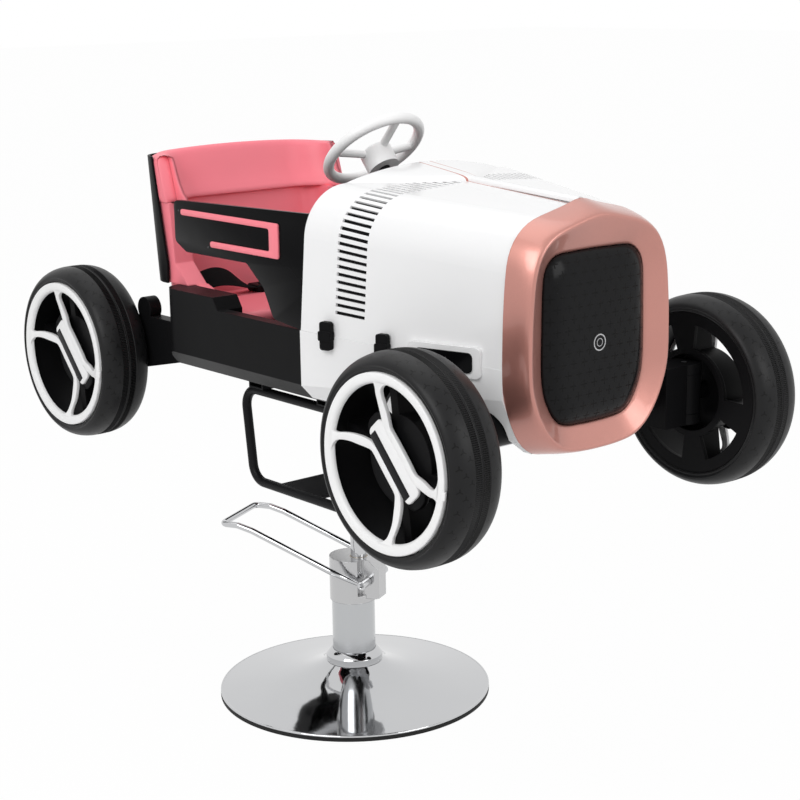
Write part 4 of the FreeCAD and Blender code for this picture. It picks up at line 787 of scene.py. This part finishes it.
def painted(name, colour, line_colour):
    """Gloss paint with a pin line on each side of the hood's spine."""
    finish = Finish(name)
    soft_edge = finish.soft_edge(0.0012)
    where = finish.node("ShaderNodeSeparateXYZ", {}, {0: finish.place()})
    off_middle = where.part("X").of("ABSOLUTE")
    line = (off_middle > pin_line_start) * (off_middle < pin_line_end)
    line = line * (where.part("Z") > pin_line_floor)
    dust = finish.cloud(7.0, 4.0)
    ripple = finish.cloud(16.0, 1.0)
    wear = finish.edge_wear(soft_edge)
    tone = finish.between(dust * 0.4 + wear * 0.3, shade(colour), shade(colour, 1.05))
    tone = finish.between(line, tone, shade(line_colour))
    normal = finish.relief(ripple, 0.0003, soft_edge)
    return finish.surface({"Base Color": tone, "Normal": normal, "Roughness": 0.12 + dust * 0.06})


gloss_white = painted("gloss_white_paint", (0.86, 0.86, 0.865), line_colour=(0.55, 0.22, 0.18))
dress(gloss_white, "white_gloss_plastic", "hood_cover", "lower_body_sides")
dress(black_shell, "black_plastic", "hood_liner", "hood_latches", "dash_panel", "column_bracket")
dress(gloss_black, "gloss_black_plastic", "hood_plates")


# Grille ring: a moulded surround in metallic rose gold paint. The panel in its mouth is
# a gloss black pillow with a pattern of moulded crosses and two plain rings in its middle.

def metallic(name, colour, roughness, edge):
    """Metallic paint: fine flakes under a clear coat."""
    finish = Finish(name)
    soft_edge = finish.soft_edge(edge)
    flakes = finish.node("ShaderNodeTexVoronoi", {}, {"Vector": finish.place(), "Scale": 2600.0}, "Color")
    grey = finish.node("ShaderNodeRGBToBW", {}, {0: flakes})
    cloud = finish.cloud(9.0, 3.0)
    tone = finish.between(grey * 0.5 + cloud * 0.5, shade(colour, 0.86), shade(colour, 1.12))
    normal = finish.relief(grey, 0.00003, soft_edge)
    return finish.surface({"Base Color": tone, "Metallic": 0.7, "Normal": normal, "Coat Weight": 0.6,
                           "Coat Roughness": 0.08, "Roughness": roughness + grey * 0.1})


# The left halves of the ring's three edges from top to bottom, in millimetres.
outer_edge = [(0, 923.5), (13, 921.5), (32, 916), (60, 909.5), (88, 903), (106, 896.5), (122, 886),
              (134, 873.5), (142, 860), (147.2, 845), (150, 829), (153, 800), (155.5, 760), (156.8, 715),
              (157, 680), (155.5, 655), (150, 632), (141, 608), (127.5, 582), (112, 565), (90, 553.5),
              (50, 549.5), (0, 549)]
crease_edge = [(0, 903.5), (24, 901), (50, 895), (75, 888.5), (95, 881), (109, 872.5), (120, 861.5),
               (128.5, 848.5), (134.5, 833), (139, 813), (142, 785), (144.5, 750), (145.5, 710), (145, 684),
               (142.5, 663), (136.5, 642), (126, 618), (112, 596), (95, 578.5), (72, 565.5), (40, 560),
               (0, 558.5)]
mouth_edge = [(0, 853), (40, 852.4), (68, 851.4), (82, 848.3), (92.5, 841), (99, 833), (103, 822),
              (105, 805), (106, 770), (107, 720), (107, 685), (105, 662), (100.5, 644), (93, 628),
              (83.5, 613.5), (71, 602), (55, 596.5), (30, 594.7), (0, 594)]

# Each step: the share of the way between two edges, the swell outwards and the depth
# towards the nose.
flank_steps = [(0.0, 0.0, 0.534), (0.25, 0.0012, 0.5465), (0.5, 0.0022, 0.559), (0.74, 0.0022, 0.5702),
               (0.9, 0.0012, 0.5778), (1.0, 0.0, 0.5808)]
face_steps = [(0.05, 0.0, 0.5810), (0.13, 0.0, 0.5796), (0.3, 0.0, 0.5762), (0.6, 0.0, 0.5703),
              (0.85, 0.0, 0.5658), (0.96, 0.0, 0.5637), (1.0, 0.0, 0.5615), (1.0, 0.0, 0.545)]
rear_steps = [(0.8, 0.0, 0.5345)]
ring_centre = Vector((0, 0.735))
pillow_centre = Vector((0, 0.722))
pillow_fit = 0.9935

# Each step: the share of the way from the pillow's middle to its edge, and the depth.
pillow_steps = [(0.0, 0.5515), (0.985, 0.5515), (0.996, 0.5600), (0.994, 0.5627), (0.975, 0.5652),
                (0.94, 0.5682), (0.90, 0.5708), (0.85, 0.5730), (0.80, 0.5743), (0.74, 0.5751),
                (0.60, 0.5757), (0.40, 0.5760), (0.20, 0.5761), (0.0, 0.5761)]


def evened(outline, count=96):
    """A smooth closed outline of both halves, in metres, with evenly spaced points."""
    lap = 3
    run_steps = 12
    whole = outline + [(-x, z) for x, z in reversed(outline[1:-1])]
    line = eased(whole[-lap:] + whole + whole[:lap], run_steps)
    line = [Vector(point) / 1000 for point in line[lap * run_steps:-(lap - 1) * run_steps]]
    lengths = [0.0]
    for first, second in zip(line, line[1:]):
        lengths.append(lengths[-1] + (second - first).length)
    evenly = []
    place = 0
    for step in range(count):
        target = lengths[-1] * step / count
        while lengths[place + 1] < target:
            place += 1
        share = (target - lengths[place]) / (lengths[place + 1] - lengths[place])
        evenly.append(line[place].lerp(line[place + 1], share))
    return evenly


def set_back(point, depth):
    return Vector((point.x, -depth, point.y))


def lofted(rows):
    """A closed skin through rows of points, whose last row meets the first."""
    form = ribbon([row + row[:1] for row in rows + rows[:1]])
    bmesh.ops.remove_doubles(form, verts=form.verts, dist=merge_distance)
    return form


def grille_surround():
    """Ring that swells out from the hood to its crease and dishes in to its mouth."""
    outer, crease, mouth = evened(outer_edge), evened(crease_edge), evened(mouth_edge)
    spans = [(outer, crease, flank_steps), (crease, mouth, face_steps), (mouth, outer, rear_steps)]
    skins = []
    for first, second, steps in spans:
        for share, swell, depth in steps:
            places = [start.lerp(end, share) for start, end in zip(first, second)]
            skins.append([set_back(place + (place - ring_centre).normalized() * swell, depth)
                          for place in places])
    return lofted(list(zip(*skins)))


def grille_pillow():
    """Panel whose border rolls back all round, closed at its middle and behind."""
    edge = evened([(x * pillow_fit, z) for x, z in mouth_edge])
    return lofted([[set_back(pillow_centre.lerp(point, share), depth) for share, depth in pillow_steps]
                   for point in edge])


cross_column = 0.0215
cross_row = 0.0165
cross_half_width = 0.0008
cross_reach = 0.0064
rings_height = 0.715
bright_rings = [(0.0108, 0.0126), (0.0052, 0.0062)]
rings_clearance = 0.0150


def cross_moulding():
    """Gloss black with staggered rows of sunk crosses, darkened with painted shade, round two plain bright
    rings.
    """
    finish = Finish("crossed_gloss_black")
    soft_edge = finish.soft_edge(0.001)
    where = finish.node("ShaderNodeSeparateXYZ", {}, {0: finish.place()})
    height = where.part("Z") - rings_height
    upward = height * (1 / cross_row)
    row = upward.of("FLOOR")
    stagger = where.part("X") * (1 / cross_column) + row * 0.5
    column = (stagger.fraction() - 0.5).of("ABSOLUTE") * cross_column
    level = (upward - row - 0.5).of("ABSOLUTE") * cross_row
    upright = (column < cross_half_width) * (level < cross_reach)
    crossing = (level < cross_half_width) * (column < cross_reach)
    reach = (height * height + where.part("X") * where.part("X")).of("SQRT")
    crosses = upright.maths("MAXIMUM", upright, crossing) * (reach > rings_clearance)
    ring, inner_ring = [(reach > start) * (reach < end) for start, end in bright_rings]
    dust = finish.cloud(11.0, 4.0)
    tone = finish.between(dust * 0.5, shade((0.005, 0.005, 0.0055)), shade((0.008, 0.008, 0.009)))
    # The sunk crosses are mixed towards near black: painted shade in the grooves.
    tone = finish.between(crosses * 0.8, tone, shade((0.0015, 0.0015, 0.0015)))
    tone = finish.between(ring + inner_ring, tone, shade((0.55, 0.55, 0.56)))
    normal = finish.relief(1.0 - crosses, 0.0012, soft_edge)
    return finish.surface({"Base Color": tone, "Normal": normal, "Specular IOR Level": 0.12,
                           "Roughness": 0.16 + dust * 0.08 + crosses * 0.3})


rose_gold = metallic("rose_gold_paint", (0.53, 0.235, 0.195), roughness=0.3, edge=0.001)
crossed_black = cross_moulding()
piece("grille_surround", grille_surround(), rose_gold, "rose_gold_plastic", "car", "grille_ring",
      crease=50.0)
piece("grille_pillow", grille_pillow(), crossed_black, "gloss_black_plastic", "car", "grille_panel",
      crease=50.0)


# Steering: a three-spoke wheel moulded in satin white, with a horn button sprung into its
# hub. It is screwed to a coated steel column that leans back from the hood's bulkhead.

dress(white_satin, "white_satin_plastic", "steering_wheel", "horn_button")
dress(black_coat, "black_powder_coat", "steering_column")


# Studio: a pale paper floor under a plain white backdrop, lit by three soft lamps. The
# camera stands where the photograph was taken from, with the photograph's lens.

def seen_directly(finish):
    """1 where the camera, a mirror or glass looks, and 0 for light on the object."""
    rays = finish.node("ShaderNodeLightPath")
    mirrored = rays.maths("MAXIMUM", rays.part("Is Glossy Ray"), rays.part("Is Transmission Ray"))
    return rays.maths("MAXIMUM", rays.part("Is Camera Ray"), mirrored)


def stage_finish(name, colour, glow):
    """Paper that looks almost white itself but takes the object's shadow."""
    finish = Finish(name)
    lit = finish.node("ShaderNodeBsdfDiffuse", {}, {"Color": shade(colour)})
    bright = finish.node("ShaderNodeEmission", {}, {"Color": shade((1.0, 1.0, 1.0)), "Strength": 1.0})
    mixed = finish.node("ShaderNodeMixShader", {}, {0: seen_directly(finish) * glow, 1: lit, 2: bright})
    finish.node("ShaderNodeOutputMaterial", {}, {"Surface": mixed})
    return finish.made


def backdrop_finish(name, fill, seen):
    """White backdrop that looks brighter than the light that it throws."""
    finish = Finish(name, bpy.data.worlds)
    strength = seen_directly(finish) * (seen - fill) + fill
    glow = finish.node("ShaderNodeBackground", {}, {"Color": shade((1.0, 1.0, 1.0)), "Strength": strength})
    finish.node("ShaderNodeOutputWorld", {}, {"Surface": glow})
    return finish.made


sheet = bmesh.new()
bmesh.ops.create_grid(sheet, x_segments=1, y_segments=1, size=30.0)
floor_mesh = bpy.data.meshes.new("studio_floor")
sheet.to_mesh(floor_mesh)
sheet.free()
floor = bpy.data.objects.new("studio_floor", floor_mesh)
floor.data.materials.append(stage_finish("studio_paper", (0.90, 0.90, 0.90), glow=0.975))
bpy.context.scene.collection.objects.link(floor)
bpy.context.scene.world = backdrop_finish("studio", fill=0.55, seen=1.0)


def lamp(name, place, aim, size, power):
    """Square soft lamp turned towards a point."""
    light = bpy.data.lights.new(name, "AREA")
    light.shape = "SQUARE"
    light.size = size
    light.energy = power
    lamp_object = bpy.data.objects.new(name, light)
    bpy.context.scene.collection.objects.link(lamp_object)
    heading = Vector(aim) - Vector(place)
    turn = heading.to_track_quat("-Z", "Y").to_matrix().to_4x4()
    lamp_object.matrix_world = Matrix.Translation(place) @ turn


lamp("softbox_key", (-2.6, -0.9, 2.6), aim=(0, 0, 0.7), size=1.8, power=42.0)
lamp("softbox_front", (0.8, -3.4, 2.0), aim=(0, -0.2, 0.6), size=1.6, power=24.0)
lamp("softbox_top", (0.0, 0.4, 3.2), aim=(0, 0, 0.6), size=2.4, power=16.0)

camera_place = (-1.880, -2.354, 1.239)
azimuth = math.radians(-40.08)
elevation = math.radians(13.27)
roll = math.radians(-0.86)
focal_pixels = 1792.0
frame_pixels = 800.0
camera = bpy.data.objects.new("camera", bpy.data.cameras.new("camera"))
camera.data.sensor_width = 36.0
camera.data.lens = focal_pixels / frame_pixels * camera.data.sensor_width
camera.data.clip_end = 100.0
turn = Matrix.Rotation(azimuth, 4, "Z") @ Matrix.Rotation(math.pi / 2 - elevation, 4, "X")
camera.matrix_world = Matrix.Translation(camera_place) @ turn @ Matrix.Rotation(roll, 4, "Z")
bpy.context.scene.collection.objects.link(camera)
bpy.context.scene.camera = camera
bpy.context.scene.view_settings.view_transform = "Standard"


def corners(box):
    return [[float(number) for number in corner] for corner in box]
